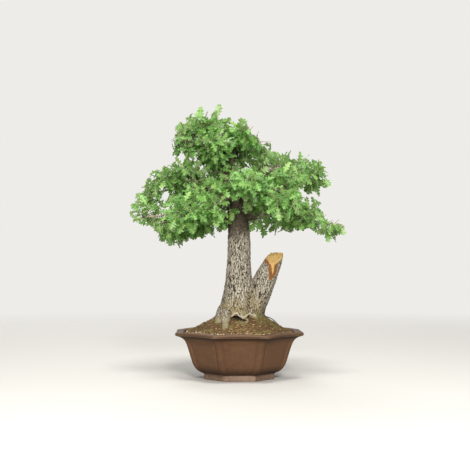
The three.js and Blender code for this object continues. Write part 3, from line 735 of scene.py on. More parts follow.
def make_clay():
    """Unglazed brown clay, paler on the foot, with faint hand-smoothed streaks, painted shade under the
    lip, on the low curve and at the foot's ends, and a painted highlight on the lip's lower edge.
    """
    material, nodes, shader = new_material("brown_unglazed_clay")
    tone = mottle(nodes, broad=0.012, fine=0.09, share=0.35)
    level = nodes.spread(tone, *TONE_RANGE)
    streaks = nodes.noise(nodes.stretched((0.02, 0.02, 0.35)), 1.0, detail=3.0)
    grit = nodes.noise(nodes.stretched((1, 1, 1)), 1.4, detail=2.0)
    place = nodes.node("ShaderNodeSeparateXYZ")
    nodes.link(nodes.node("ShaderNodeTexCoord").outputs["Object"], place.inputs[0])
    height, aside = place.outputs["Z"], nodes.math("ABSOLUTE", place.outputs["X"])

    body = nodes.blend(level, *CLAY_BODY)
    body = nodes.blend(nodes.spread(streaks, 0.45, 0.8, to_high=0.18), body, CLAY_STREAK)
    # painted shadow: darkens the wall just under the lip
    body = nodes.blend(nodes.spread(height, *LIP_SHADOW_HEIGHTS, to_high=0.88), body, CLAY_LIP_SHADOW_PAINT)
    # painted shade: darkens the wall as it curves under towards the foot
    body = nodes.blend(nodes.spread(height, *LOW_CURVE_SHADE_HEIGHTS, to_high=0.7), body, CLAY_LOW_CURVE_SHADE)
    lip = nodes.blend(level, *CLAY_LIP)
    # painted highlight: lightens the lip's rounded lower edge
    lip = nodes.blend(nodes.spread(height, *LIP_HIGHLIGHT_HEIGHTS, to_high=0.6), lip, CLAY_LIP_HIGHLIGHT)
    foot = nodes.blend(level, *CLAY_FOOT)
    # painted shade: darkens the foot's side facets, away from its front
    foot = nodes.blend(nodes.spread(aside, *FOOT_SHADE_REACH, to_high=0.6), foot, CLAY_FOOT_SIDES_SHADE)
    colour = nodes.blend(nodes.spread(height, *LIP_FROM), body, lip)
    colour = nodes.blend(nodes.spread(height, *FOOT_TOP), colour, foot)
    colour = nodes.blend(nodes.spread(grit, 0.62, 0.75, to_high=0.4), colour, CLAY_SPECK)
    nodes.link(colour, shader.inputs["Base Color"])

    nodes.link(nodes.spread(tone, *TONE_RANGE, to_low=0.5, to_high=0.68), shader.inputs["Roughness"])
    shader.inputs["Specular IOR Level"].default_value = 0.4
    relief = nodes.together(grit, 0.4, streaks, 0.6)
    bump(nodes, shader, relief, distance=0.5, strength=0.5)
    return material


def make_bark():
    """Grey-beige plates over dark fissures, moss, and bare wood at the break, with painted shade under the
    crown, on the wood's sides and in the hollow.
    """
    material, nodes, shader = new_material("oak_bark")
    plate, bare, earthy = (nodes.attribute(name) for name in ("plate", "bare", "earthy"))
    tone = mottle(nodes, broad=0.03, fine=0.35, share=0.5)
    grain = nodes.noise(nodes.stretched((0.9, 0.9, 0.25)), 1.0, detail=6.0, roughness=0.65)
    fibres = nodes.noise(nodes.stretched((1.2, 1.2, 0.06)), 1.0, detail=4.0, roughness=0.6)
    level = nodes.together(nodes.spread(tone, *TONE_RANGE), 0.5, nodes.attribute("plate_tone"), 0.5)

    face = nodes.blend(level, *BARK_PLATE)
    face = nodes.blend(nodes.spread(grain, 0.5, 0.75, to_high=0.5), face, BARK_GRAIN)
    stained = nodes.blend(level, *EARTHY_PLATE)
    stained = nodes.blend(nodes.spread(grain, 0.4, 0.7), stained, EARTHY_GRAIN)
    face = nodes.blend(earthy, face, stained)
    colour = nodes.blend(nodes.spread(plate, 0.4, 0.9), nodes.blend(0.6, face, PLATE_EDGE), face)
    colour = nodes.blend(nodes.spread(plate, 0.12, 0.7, to_low=1.0, to_high=0.0), colour,
                         nodes.blend(earthy, FISSURE, EARTHY_FISSURE))
    # the damp attribute holds painted shade: under the crown and on the sides of the wood
    colour = nodes.blend(nodes.attribute("damp"), colour, BARK_PAINTED_SHADE)
    green = nodes.blend(nodes.spread(tone, 0.35, 0.65), *MOSSY_BARK)
    colour = nodes.blend(nodes.attribute("moss"), colour, green)

    along_fibres = nodes.spread(fibres, 0.35, 0.65)
    wood = nodes.blend(nodes.attribute("rust"), nodes.blend(along_fibres, *PALE_WOOD),
                       nodes.blend(along_fibres, *RUSTY_WOOD))
    colour = nodes.blend(bare, colour, wood)
    callus = nodes.blend(nodes.spread(grain, 0.35, 0.65), *CALLUS_SKIN)
    colour = nodes.blend(nodes.math("MULTIPLY", nodes.attribute("callus"), 0.85), colour, callus)
    # the dark attribute is painted shade in the hollow and its pits
    colour = nodes.blend(nodes.math("MULTIPLY", nodes.attribute("dark"), 0.9), colour, HOLLOW_PAINTED_SHADE)
    nodes.link(colour, shader.inputs["Base Color"])
    matt(shader, roughness=0.9, specular=0.25)
    relief = nodes.math("ADD", grain, nodes.math("MULTIPLY", fibres, bare))
    bump(nodes, shader, relief, distance=0.9, strength=0.6)
    return material


def make_twig():
    material, nodes, shader = new_material("young_twig")
    tone = mottle(nodes, broad=0.05, fine=0.4, share=0.4)
    nodes.link(nodes.blend(nodes.spread(tone, *TONE_RANGE), *TWIG_SKIN), shader.inputs["Base Color"])
    shader.inputs["Roughness"].default_value = 0.85
    bump(nodes, shader, tone, distance=0.4, strength=0.5)
    return material


VEINS = 6.4  # side veins along a leaf
VEIN_SLANT = 0.95  # how far they run forward towards the edge


def make_leaf():
    """A lobed leaf: mid green with paler veins, yellower when young, grey-green below."""
    material, nodes, shader = new_material("downy_oak_leaf")
    spot = nodes.node("ShaderNodeSeparateXYZ")
    nodes.link(nodes.node("ShaderNodeUVMap", uv_map="blade").outputs["UV"], spot.inputs[0])
    across = nodes.math("ABSOLUTE", nodes.math("SUBTRACT", spot.outputs["Y"], 0.5))
    slanted = nodes.math("SUBTRACT", spot.outputs["X"], nodes.math("MULTIPLY", across, VEIN_SLANT))
    ribs = nodes.math("FRACT", nodes.math("MULTIPLY", slanted, VEINS))
    side_veins = nodes.spread(nodes.math("ABSOLUTE", nodes.math("SUBTRACT", ribs, 0.5)), 0.09, 0.03)
    midrib = nodes.spread(across, 0.028, 0.012)
    veins = nodes.math("MAXIMUM", midrib, nodes.math("MULTIPLY", side_veins, 0.6))

    tone = mottle(nodes, broad=0.008, fine=0.08, share=0.5)
    colour = nodes.blend(nodes.attribute("tint"), *LEAF_TOP)
    colour = nodes.blend(nodes.attribute("youth"), colour, LEAF_YOUNG)
    colour = nodes.blend(nodes.spread(tone, *TONE_RANGE, to_high=0.3), colour, LEAF_MOTTLE)
    colour = nodes.blend(nodes.math("MULTIPLY", veins, 0.55), colour, LEAF_VEIN)
    below = nodes.blend(nodes.math("MULTIPLY", veins, 0.5), LEAF_BELOW, LEAF_VEIN_BELOW)
    back = nodes.node("ShaderNodeNewGeometry").outputs["Backfacing"]
    colour = nodes.blend(back, colour, below)
    nodes.link(colour, shader.inputs["Base Color"])
    matt(shader, roughness=0.34, specular=0.5)
    bump(nodes, shader, veins, distance=0.35, strength=0.7)

    through = nodes.node("ShaderNodeBsdfTranslucent")
    nodes.link(nodes.blend(0.5, colour, LEAF_LIT_THROUGH), through.inputs["Color"])
    both = nodes.node("ShaderNodeMixShader")
    both.inputs["Fac"].default_value = 0.2
    nodes.link(shader.outputs[0], both.inputs[1])
    nodes.link(through.outputs[0], both.inputs[2])
    output = next(n for n in nodes.made if n.type == "OUTPUT_MATERIAL")
    nodes.link(both.outputs[0], output.inputs["Surface"])
    return material


def make_grain_material(name, dark, light, roughness=0.95, broad=0.05):
    """A rough natural surface between two colours, with each grain's own tone."""
    material, nodes, shader = new_material(name)
    tone = mottle(nodes, broad, fine=0.5, share=0.5)
    level = nodes.together(nodes.spread(tone, *TONE_RANGE), 0.5, nodes.attribute("tint"), 0.5)
    nodes.link(nodes.blend(level, dark, light), shader.inputs["Base Color"])
    matt(shader, roughness, specular=0.25)
    bump(nodes, shader, tone, distance=0.8, strength=0.7)
    return material


def make_screen_plastic():
    material, nodes, shader = new_material("black_grid_plastic")
    tone = mottle(nodes, broad=0.05, fine=0.6, share=0.5)
    nodes.link(nodes.blend(tone, *SCREEN_PLASTIC), shader.inputs["Base Color"])
    shader.inputs["Roughness"].default_value = 0.5
    bump(nodes, shader, tone, distance=0.2, strength=0.3)
    return material


CLAY = make_clay()
BARK = make_bark()
TWIG = make_twig()
LEAF = make_leaf()
SOIL = make_grain_material("brown_potting_soil", srgb(56, 41, 27), srgb(106, 82, 54))
GRAIN = make_grain_material("soil_grain", srgb(64, 46, 29), srgb(158, 126, 82), broad=0.1)
GRAVEL = make_grain_material("pale_gravel", srgb(190, 174, 138), srgb(240, 228, 196), roughness=0.8)
LITTER = make_grain_material("bark_litter", srgb(108, 76, 44), srgb(212, 182, 130), roughness=0.9)
MOSS = make_grain_material("moss", srgb(106, 99, 60), srgb(162, 152, 100), roughness=1.0)
ROOTLET_SKIN = make_grain_material("rootlet_skin", srgb(60, 46, 34), srgb(96, 78, 58))
SCREEN = make_screen_plastic()


# Pot


def rib_swell(across):
    """How far the clay stands proud at this distance from the middle of a rib."""
    band = 1 / (1 + math.exp((abs(across) - RIB["half"]) * RIB["sharpness"]))
    from_crease = (abs(across) - RIB["half"] - RIB["crease_off"]) / RIB["crease_width"]
    return RIB["proud"] * band - RIB["crease"] * math.exp(-(from_crease ** 2))


def beside(angle, out, across, height):
    """The point so far out along an angle and so far across from it."""
    cos, sin = math.cos(angle), math.sin(angle)
    return cos * out - sin * across, sin * out + cos * across, height


def pot_ring(height, apothem, rib, hollow=0.0, drop=0.0):
    """One level of the pot: eight flats between upright ribs, each rib between two creases."""
    eighth = math.pi / 8
    lean = math.tan(eighth)
    reach = apothem / math.cos(eighth)
    zone = RIB["half"] + RIB["fade"]
    run = apothem * lean - zone
    ring = []
    for side in range(8):
        angle = 2 * math.pi * (side + 0.5) / 8 + POT_TURN
        for k in range(RIB_POINTS + 1):
            across = mix(-zone, zone, k / RIB_POINTS)
            rounded = math.sqrt(across * across + 6.0) - 1.0
            out = reach - rounded * lean + rib_swell(across) * rib
            low = height - drop * (1 - min(1.0, abs(across) / zone) * 0.3)
            ring.append(beside(angle, out, across, low))
        for k in range(1, FLAT_POINTS):
            share = k / (FLAT_POINTS / 2) - 1
            out = apothem - hollow * (1 - share * share)
            ring.append(beside(angle + eighth, out, run * share, height - drop * 0.7 * share * share))
    return ring


def close_rows(table, gap):
    """The rows of a table of heights and reaches, with smooth rows between the ones far apart."""
    rows = []
    for (low, near), (high, far) in zip(table, table[1:]):
        steps = max(1, round(math.hypot(high - low, far - near) / gap))
        for i in range(steps):
            height = mix(low, high, i / steps)
            rows.append((height, read_table(table, height)[0]))
    return rows + [table[-1]]


def pot_rings():
    """The pot's levels, up its outside, over the lip and down its inside."""
    rings = []
    for height, apothem in close_rows(POT_WALL, WALL_GAP):
        fade = 1 - 0.75 * float(smoothstep(120, 131, height))
        drop = RIM_DIP * float(smoothstep(112, 131, height))
        rings.append(pot_ring(height, apothem, fade * (0.5 if height < FOOT_HEIGHT else 1.0), drop=drop))
    for height, apothem in POT_LIP:
        edge = float(smoothstep(168, 181, apothem))
        rings.append(pot_ring(height, apothem, 0.12 * edge, 3.0 * edge, RIM_DIP))
    for height, apothem in POT_INSIDE:
        rings.append(pot_ring(height, apothem, 0.0, drop=RIM_DIP * float(smoothstep(120, 140, height))))
    return rings


def make_pot():
    shape = Shape()
    rings = pot_rings()
    shape.loft(rings, caps=False)
    n = len(rings[0])
    last = len(shape.points) - n
    shape.faces.append(tuple(last + k for k in range(n)))
    recess = FOOT_RECESS - 0.5
    under = [pot_ring(0, FOOT_RING, 0.3), pot_ring(0, FOOT_RING_INSIDE, 0.0),
             pot_ring(1.2, recess, 0.0), pot_ring(FOOT_RECESS_HEIGHT, recess, 0.0)]
    first = len(shape.points)
    for ring in under:
        shape.points.extend(ring)
    starts = [0] + [first + i * n for i in range(len(under))]
    for a, b in zip(starts, starts[1:]):
        for k in range(n):
            shape.faces.append((a + (k + 1) % n, a + k, b + k, b + (k + 1) % n))
    shape.faces.append(tuple(starts[-1] + k for k in reversed(range(n))))
    pot = mesh_object("pot_body", shape.points, shape.faces, [CLAY])
    for x in (-DRAIN_X, DRAIN_X):
        cut_round_hole(pot, x)
    shade_by_angle(pot, SHARP_ANGLE)
    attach(pot, "root")
    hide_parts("pot")


def cut_round_hole(pot, x):
    drill = Shape()
    drill.loft([round_ring(DRAIN_RADIUS, height, 40, x) for height in (10.0, 38.0)])
    tool = mesh_object("drain_drill", drill.points, drill.faces, [])
    cut = pot.modifiers.new("drain", "BOOLEAN")
    cut.operation = "DIFFERENCE"
    cut.solver = "EXACT"
    cut.object = tool
    applied(pot)
    bpy.data.objects.remove(tool)


def shade_by_angle(obj, degrees):
    mesh = obj.data
    mesh.shade_smooth()
    edit = bmesh.new()
    edit.from_mesh(mesh)
    limit = math.radians(degrees)
    for edge in edit.edges:
        edge.smooth = len(edge.link_faces) == 2 and edge.calc_face_angle(0.0) < limit
    edit.to_mesh(mesh)
    edit.free()


# Wood: its shape before the bark


def wavy(p, size, amount, shift=0.0):
    """A slow swell of a surface, in millimetres."""
    return amount * noise.noise(Vector(p) / size + Vector((shift, 0, 0)))


def wander(at, ways):
    """How far a stem strays from its smooth curve, by a swell along each axis."""
    return Vector([wavy(at, *way) for way in ways])


def trunk_rings(table, count, sides, flute_from):
    rings = []
    low, high = table[0][0], table[-1][0]
    for i in range(count):
        height = mix(low, high, i / (count - 1))
        x, y, radius = read_table(table, height)
        flute = 0.06 * min(max((flute_from - height) / 90, 0), 1)
        ring = []
        for turn in turns(sides):
            reach = radius * (1 + flute * math.cos(5 * turn + 0.6))
            reach += wavy((radius * math.cos(turn), radius * math.sin(turn), height), 38, 0.05 * radius)
            ring.append((x + reach * math.cos(turn), y + reach * math.sin(turn), height))
        rings.append(ring)
    return rings


def make_stub():
    """The broken second stem, cut by the faces of its break."""
    shape = Shape()
    shape.loft(trunk_rings(STUB, count=40, sides=36, flute_from=150))
    edit = bmesh.new()
    corners = [edit.verts.new(p) for p in shape.points]
    for face in shape.faces:
        edit.faces.new([corners[i] for i in face])
    for at, out in BREAK:
        cut = bmesh.ops.bisect_plane(edit, geom=edit.verts[:] + edit.edges[:] + edit.faces[:], plane_co=at,
                                     plane_no=Vector(out).normalized(), clear_outer=True)
        rim = [e for e in cut["geom_cut"] if isinstance(e, bmesh.types.BMEdge)]
        bmesh.ops.edgeloop_fill(edit, edges=rim)
    edit.verts.index_update()
    points = [tuple(v.co) for v in edit.verts]
    faces = [tuple(v.index for v in f.verts) for f in edit.faces]
    edit.free()
    return points, faces


def callus_path():
    """Points along the callus, on the front of the trunk's foot."""
    path = []
    table = [(k, *place) for k, place in enumerate(CALLUS)]
    for i in range(len(CALLUS) * 4 - 3):
        x, height = read_table(table, i / 4)
        y = -math.sqrt(max(TRUNK_FOOT_RADIUS ** 2 - (x + 2) ** 2, 0.0)) - 0.02 * (190 - height)
        path.append(Vector((x, y, height)))
    return path


def from_callus(points):
    """Distance of each point from the callus."""
    path = np.array([tuple(at) for at in callus_path()])
    return np.min(np.linalg.norm(points[:, None] - path[None], axis=2), axis=1)


def limb_stem(limb):
    """Stations of a limb that strays a little from its curve and flares where it leaves the trunk."""
    steps = 30
    flared = []
    for i, (at, ahead, radius) in enumerate(limb_stations(limb, steps)):
        drift = wander(at, LIMB_WANDER) * math.sin(math.pi * i / steps)
        swell = 1 + 0.5 * math.exp(-i / 2.5) + 0.1 * noise.noise(at / 9)
        flared.append((at + drift, ahead, radius * swell))
    return flared


def wood_solid(seats):
    """All the wood as one closed skin, from its parts run together."""
    shape = Shape()
    shape.loft(trunk_rings(TRUNK, count=90, sides=56, flute_from=255))
    for root in ROOTS:
        shape.stem([(at + wander(at, ROOT_WANDER), ahead, radius * (1 + 0.25 * noise.noise(at / 18)))
                    for at, ahead, radius in root_stations(root, 16)], sides=18)
    for limb in LIMBS:
        shape.stem(limb_stem(limb), sides=14)
    for seat in seats:
        if seat["collar"]:
            start, end = seat["collar"]
            ahead = (end - start).normalized()
            shape.stem([(start, ahead, SPRAY_RADIUS + 1.6),
                        (start.lerp(end, 0.6), ahead, SPRAY_RADIUS + 0.5),
                        (end, ahead, SPRAY_RADIUS)], sides=10)
    path = callus_path()
    ways = zip([path[0]] + path, path, path[1:] + [path[-1]])
    shape.stem([(at, (after - before).normalized(), CALLUS_RADIUS * (1 + 0.4 * noise.noise(at / 6)))
                for before, at, after in ways], sides=12)
    points, faces = make_stub()
    first = len(shape.points)
    shape.points.extend(points)
    shape.faces.extend(tuple(first + i for i in face) for face in faces)
    return shape


def skeleton(seats):
    """Stations of every wooden part: place, radius and kind, for finding what a point belongs to."""
    marks = []
    for table, count, kind in ((TRUNK, 80, "trunk"), (STUB, 40, "stub")):
        for i in range(count):
            height = mix(table[0][0], table[-1][0], i / (count - 1))
            x, y, radius = read_table(table, height)
            marks.append(((x, y, height), radius, kind))
    for root in ROOTS:
        marks.extend((tuple(at), radius, "root") for at, _, radius in root_stations(root, 20))
    for limb in LIMBS:
        marks.extend((tuple(at), radius, "limb") for at, _, radius in limb_stations(limb, 40))
    for seat in seats:
        if seat["collar"]:
            start, end = seat["collar"]
            marks.extend((tuple(start.lerp(end, i / 5)), SPRAY_RADIUS, "limb") for i in range(6))
    return marks


def wood_owners(points, seats):
    """The radius and the kind of the wooden part that each point belongs to."""
    marks = skeleton(seats)
    tree = kdtree.KDTree(len(marks))
    for i, (at, _, _) in enumerate(marks):
        tree.insert(at, i)
    tree.balance()
    owners = [marks[tree.find(p)[1]] for p in points.tolist()]
    return np.array([owner[1] for owner in owners]), np.array([owner[2] for owner in owners])


# Soil surface

ROOT_MARKS = np.array([(*at, radius) for root in ROOTS for at, _, radius in root_stations(root, 9)])


def soil_height(x, y):
    """Height of the mound, which rises a little more along the roots."""
    reach = np.maximum(np.hypot(x, y), 1)
    t = np.clip((SOIL_REACH - reach) / (SOIL_REACH - SOIL_FOOT), 0, 1)
    mound = SOIL_EDGE + t ** SOIL_SAG * mix(SOIL_RISE_FRONT, SOIL_RISE_SIDE, (x / reach) ** 2)
    root_x, root_y, root_z, radius = ROOT_MARKS.T
    rise = np.clip(root_z + 0.3 * radius - np.asarray(mound)[..., None], 0, SOIL_BANK)
    away = np.hypot(np.asarray(x)[..., None] - root_x, np.asarray(y)[..., None] - root_y)
    bank = np.max(rise * np.exp(-((away / (radius + 9)) ** 2)), axis=-1)
    (mid_x, mid_y), (half_x, half_y) = HOLLOW_FRONT
    near_hollow = np.exp(-(((x - mid_x) / half_x) ** 4) - (((y - mid_y) / half_y) ** 4))
    return mound + mix(bank, -HOLLOW_DIP, near_hollow)


def soil_lumps(x, y):
    """The soil's own unevenness: small lumps on broad ones."""
    return 1.6 * noise.noise(Vector((x, y, 0)) / 9) + 3.0 * noise.noise(Vector((x, y, 5)) / 32)


# Wood: bark, break and hollow

# noise_vector, which bends the bark's plates, differs from run to run unless it is seeded
noise.seed_set(BARK_SEED)


def bark_at(p, radius, kind):
    """Height of the bark, from 0 in a fissure to 1 on a plate, and the plate's own tone."""
    share = PLATE_SHARE_ROOT if kind == "root" else PLATE_SHARE
    width = min(max(radius * share, PLATE_LEAST), PLATE_WIDTH)
    tall = width * PLATE_HEIGHT[kind]
    lean = 0.4 * (p[2] - 140) if kind == "stub" else 0.0
    at = Vector((p[0] - lean, p[1], p[2]))
    at += noise.noise_vector(at / (width * 1.7)) * (0.28 * width)
    q = Vector((at.x / width, at.y / width, at.z / tall))
    own, *others = noise.voronoi(q)[1]
    ways = [(other, (other - own).normalized()) for other in others]
    edge = min(((own + other) / 2 - q).dot(way) + CROSS_CRACK * way.z ** 2 for other, way in ways)
    tone = math.sin(own.dot(Vector((12.99, 78.23, 37.72)))) * 43758.5
    return edge, tone - math.floor(tone)


def bark_relief(points, radii, kinds):
    """How far the bark stands out at each point, where its plates are, and each plate's tone."""
    found = [bark_at(p, r, k) for p, r, k in zip(points.tolist(), radii, kinds)]
    edge, plate_tone = (np.array(values) for values in zip(*found))
    plate = smoothstep(0.02, 0.2, edge)
    rough = np.array([noise.fractal(Vector(p) / 7, 1.0, 2.0, 3) for p in points.tolist()])
    low = smoothstep(270, 200, points[:, 2])
    depth = np.clip(radii * 0.075, 0.35, 2.3) * np.where(kinds == "root", 0.55, 1.0) * (1 - 0.35 * low)
    swell = 0.35 * smoothstep(0.1, 0.5, edge) + 0.5 * (plate_tone - 0.5)
    push = depth * (plate + swell - 0.95) + 0.28 * rough * np.clip(radii / 12, 0.3, 1.4)
    return push, plate, plate_tone


def drawn_out_noise(points, across, along):
    """Noise at each point, drawn out upright like the grain of the wood."""
    places = [Vector((x / across, y / across, z / along)) for x, y, z in points.tolist()]
    return np.array([noise.noise(place) for place in places])


def tear_halves(height):
    """Where the torn strip down the broken stem lies: centre, half width, and that of its pale wood."""
    heights, *rest = zip(*TEAR)
    return [np.interp(height, heights, values) for values in rest]


def torn_wood(points, normals, kinds):
    """Where the stem is broken, where its side is torn, and where the bare wood is rusty."""
    x, height = points[:, 0], points[:, 2]
    faces = [(np.array(at, float), np.array(out, float) / np.linalg.norm(out)) for at, out in BREAK]
    above = np.max([(points - at) @ out for at, out in faces], axis=0)
    broken = (kinds == "stub") & (above > -2.0) & (height > BREAK_FROM)
    centre, half, pale_half = tear_halves(height)
    off_centre = np.abs(x - centre)
    in_front = (kinds == "stub") & (normals[:, 1] < -0.15) & (height > TEAR[0][0])
    torn = smoothstep(-1.0, 2.0, half - off_centre) * in_front
    pale = smoothstep(-1.5, 1.5, pale_half - off_centre)
    stain = 0.55 * smoothstep(0, 5, x - centre) * smoothstep(342, 325, height)
    return broken, torn, np.maximum(1 - pale, stain)


def in_hollow(points):
    """How deep each point lies in the hollow or one of its pits, from 0 to 1."""
    depths = [np.clip(1.25 - np.linalg.norm((points - np.array(at)) / np.array(half), axis=1), 0, 1)
              for at, half in HOLLOWS]
    return np.max(depths, axis=0)


def spot(x, y, middle, half):
    """1 in the middle of an oval spot, less and less away from it."""
    return np.exp(-(((x - middle[0]) / half[0]) ** 2) - (((y - middle[1]) / half[1]) ** 2))


def mossy(points, normals, kinds, level, patch):
    """Moss on the bark: in patches low down, along the soil, on the roots and low on the right."""
    x, height = points[:, 0], points[:, 2]
    low_down = smoothstep(0.05, 0.4, patch) * smoothstep(90, 10, level) * 0.3
    at_soil = smoothstep(18, 3, level) * smoothstep(-0.25, 0.3, patch) * 0.6
    on_root = (kinds == "root") * np.where(x < 0, 0.12, 0.6)
    on_root = on_root * smoothstep(-0.3, 0.3, patch) * smoothstep(0, 0.6, normals[:, 2])
    right = smoothstep(20, 60, x) * smoothstep(200, 175, height)
    return np.max([low_down, at_soil, on_root, right * 0.75], axis=0)


def earth_stained(points, normals, patch):
    """Brown bark: low down and in the crotch, but not on the pale toe to the left of the hollow."""
    x, height = points[:, 0], points[:, 2]
    crotch = spot(x, height, *CROTCH) * (normals[:, 1] < 0.2)
    low_down = 0.75 * smoothstep(258, 200, height) * smoothstep(-0.7, 0.1, patch)
    pale_toe = spot(x, height, *PALE_TOE) * (normals[:, 1] < 0)
    return np.maximum(0.8 * crotch, low_down) * (1 - 0.8 * pale_toe)


def painted_bark_shade(points, normals, patch, barked):
    """Painted shade on the bark: on the trunk under the crown, and on the sides of the wood."""
    # painted shade on the trunk under the crown
    under_crown = 0.86 * smoothstep(*CROWN_SHADE, points[:, 2] + 30 * patch)
    under_crown = under_crown * smoothstep(80, 45, np.hypot(points[:, 0], points[:, 1]))
    # and painted shade on the wood's left and right sides
    return np.maximum(under_crown, 0.3 * smoothstep(0.4, 0.95, np.abs(normals[:, 0])) * barked)


def fused_wood(seats):
    """All the wood as one smooth mesh of even faces."""
    shape = wood_solid(seats)
    wood = mesh_object("wood", shape.points, shape.faces, [BARK])
    fuse = wood.modifiers.new("fuse", "REMESH")
    fuse.mode = "VOXEL"
    fuse.voxel_size = WOOD_GRID * MM
    fuse.use_smooth_shade = True
    applied(wood)
    points = points_of(wood.data)
    smoothed(wood, "soften", rounds=7)
    foot = smoothstep(250, 215, points[:, 2]) * smoothstep(4, 12, from_callus(points))
    smoothed(wood, "fillet", FILLET_ROUNDS, foot)
    applied(wood)
    return wood


def smoothed(wood, name, rounds, weights=None):
    """Adds rounds of smoothing, where weights are given by tenths of them."""
    soften = wood.modifiers.new(name, "SMOOTH")
    soften.factor = 0.5
    soften.iterations = rounds
    if weights is not None:
        group = wood.vertex_groups.new(name=name)
        for step in range(1, 11):
            members = np.flatnonzero(np.round(weights * 10) == step)
            group.add(members.tolist(), step / 10, "REPLACE")
        soften.vertex_group = name


def make_wood(seats):
    wood = fused_wood(seats)
    mesh = wood.data
    points, normals = points_of(mesh), normals_of(mesh)
    radii, kinds = wood_owners(points, seats)
    height = points[:, 2]
    broken, torn, rust = torn_wood(points, normals, kinds)
    bare = np.clip(broken + torn, 0, 1)
    callus = smoothstep(CALLUS_RADIUS + 2.6, CALLUS_RADIUS + 0.4, from_callus(points))
    hollow = in_hollow(points)

    push, plate, plate_tone = bark_relief(points, radii, kinds)
    push *= (1 - bare) * (1 - 0.6 * callus)
    splinter = drawn_out_noise(points, across=2.3, along=30)
    coarse = drawn_out_noise(points, across=8, along=60)
    moved = points + normals * push[:, None] + normals * (0.5 * splinter * bare)[:, None]
    moved += STUB_AXIS * (broken * (1.8 * splinter + 3.6 * coarse))[:, None]
    moved += BACKWARDS * (torn * smoothstep(283, 325, height) * TEAR_DEPTH)[:, None]
    moved += HOLLOW_AXIS * (smoothstep(0.0, 0.5, hollow) * HOLLOW_DEPTH)[:, None]

    patch = np.array([noise.noise(Vector(p) / 24) for p in points.tolist()])
    level = height - soil_height(points[:, 0], points[:, 1])
    barked = (kinds != "limb") * (1 - bare)
    mesh.vertices.foreach_set("co", (moved * MM).ravel())
    for name, values in (
            ("plate", plate), ("plate_tone", plate_tone),
            ("bare", bare), ("rust", rust), ("callus", callus),
            ("moss", mossy(points, normals, kinds, level, patch) * barked * (1 - callus)),
            ("earthy", earth_stained(points, normals, patch) * barked * (1 - callus)),
            # painted shade under the crown and on the wood's sides
            ("damp", painted_bark_shade(points, normals, patch, barked)),
            # painted shade deep in the hollow and its pits
            ("dark", smoothstep(0.1, 0.5, hollow) * (1 - callus))):
        set_attribute(mesh, name, values)
    mesh.update()
    split_wood(wood, kinds == "limb", level < -BURIED_DEPTH)


def split_wood(wood, is_limb, buried):
    """Parts the wood into the butt with its roots and the limbs above, and drops what the soil hides."""
    for name, keep in (("trunk_and_roots", ~is_limb), ("limbs", is_limb)):
        piece = wood.copy()
        piece.data = wood.data.copy()
        piece.name = name
        piece.data.name = name
        bpy.context.collection.objects.link(piece)
        edit = bmesh.new()
        edit.from_mesh(piece.data)
        gone = []
        for face in edit.faces:
            corners = [v.index for v in face.verts]
            kept = keep[corners].mean()
            if buried[corners].all() or kept < 0.5 or (kept == 0.5 and name == "limbs"):
                gone.append(face)
        bmesh.ops.delete(edit, geom=gone, context="FACES")
        edit.to_mesh(piece.data)
        edit.free()
        if name == "limbs":
            fewer = piece.modifiers.new("fewer", "DECIMATE")
            fewer.ratio = LIMB_FACES_KEPT
            applied(piece)
        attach(piece, "root")
        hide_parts("trunk_and_limbs")
    bpy.data.objects.remove(wood)


def make_rootlet():
    """A thin bare rootlet that arches from the foot of the broken stem to the soil."""
    shape = Shape()
    shape.stem(along_curve(*(Vector(place) for place in ROOTLET), *ROOTLET_RADII, steps=14), sides=8)
    rootlet = mesh_object("loose_rootlet", shape.points, shape.faces, [ROOTLET_SKIN])
    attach(rootlet, "root")


# Leaves

# Half of the leaf's outline from stalk to tip: along and across, as shares of its length
LEAF_EDGE = [
    (0.0, 0.014), (0.10, 0.013), (0.17, 0.035), (0.225, 0.125), (0.28, 0.175), (0.325, 0.09),
    (0.37, 0.07), (0.435, 0.225), (0.50, 0.305), (0.55, 0.20), (0.585, 0.08), (0.65, 0.215),
    (0.72, 0.32), (0.77, 0.22), (0.80, 0.09), (0.865, 0.17), (0.925, 0.15), (0.968, 0.075),
    (1.0, 0.006),
]
OUTER_SHARES = (-1, -0.5, 0, 0.5, 1)  # points across a leaf near a shoot's tip
INNER_SHARES = (-1, 0, 1)  # points across a leaf further down it
OUTER_LEAVES = 4  # leaves of a shoot that count as near its tip
YOUNG_LEAVES = 2  # those at its tip that may be young and pale


def leaf_template(shares):
    """Places and faces of a leaf, with points at these shares of its half width across it."""
    places = []
    for along, across in LEAF_EDGE:
        for share in shares:
            lag = 0.10 * abs(share) * across
            places.append((along - lag * (1 - abs(share)), across * share))
    faces = []
    n = len(shares)
    for i in range(len(LEAF_EDGE) - 1):
        for k in range(n - 1):
            a = i * n + k
            faces.append((a, a + 1, a + n + 1, a + n))
    return np.array(places), np.array(faces)


def leaf_points(places, leaf, bends):
    """The template bent to one leaf: folded along its rib, drooping, with waves at its edge."""
    along, across = places[:, 0], places[:, 1]
    fold, droop, wave, phase, roll = bends
    lift = np.abs(across) * fold - droop * along ** 2 * 0.3
    lift += 0.10 * np.abs(across) * np.sin((along - 0.3) * 27)
    lift += wave * 0.5 * np.abs(across) * np.sin(along * 17 + phase + np.sign(across))
    heading, upright = np.array(leaf["heading"]), np.array(leaf["face"])
    level = np.cross(heading, upright)
    face = upright * math.cos(roll) + level * math.sin(roll)
    side = np.cross(heading, face)
    shape = along[:, None] * heading + across[:, None] * side + lift[:, None] * face
    return np.array(leaf["base"]) + leaf["size"] * LEAF_SCALE * shape


def random_bends(chance):
    """Fold, droop, wave, the wave's phase and roll of one leaf."""
    return (chance.uniform(-0.1, 0.5), chance.uniform(0.0, 1.1), chance.uniform(0.1, 0.5),
            chance.uniform(0, 6.28), np.clip(chance.normal(0, 0.7), -1.3, 1.3))


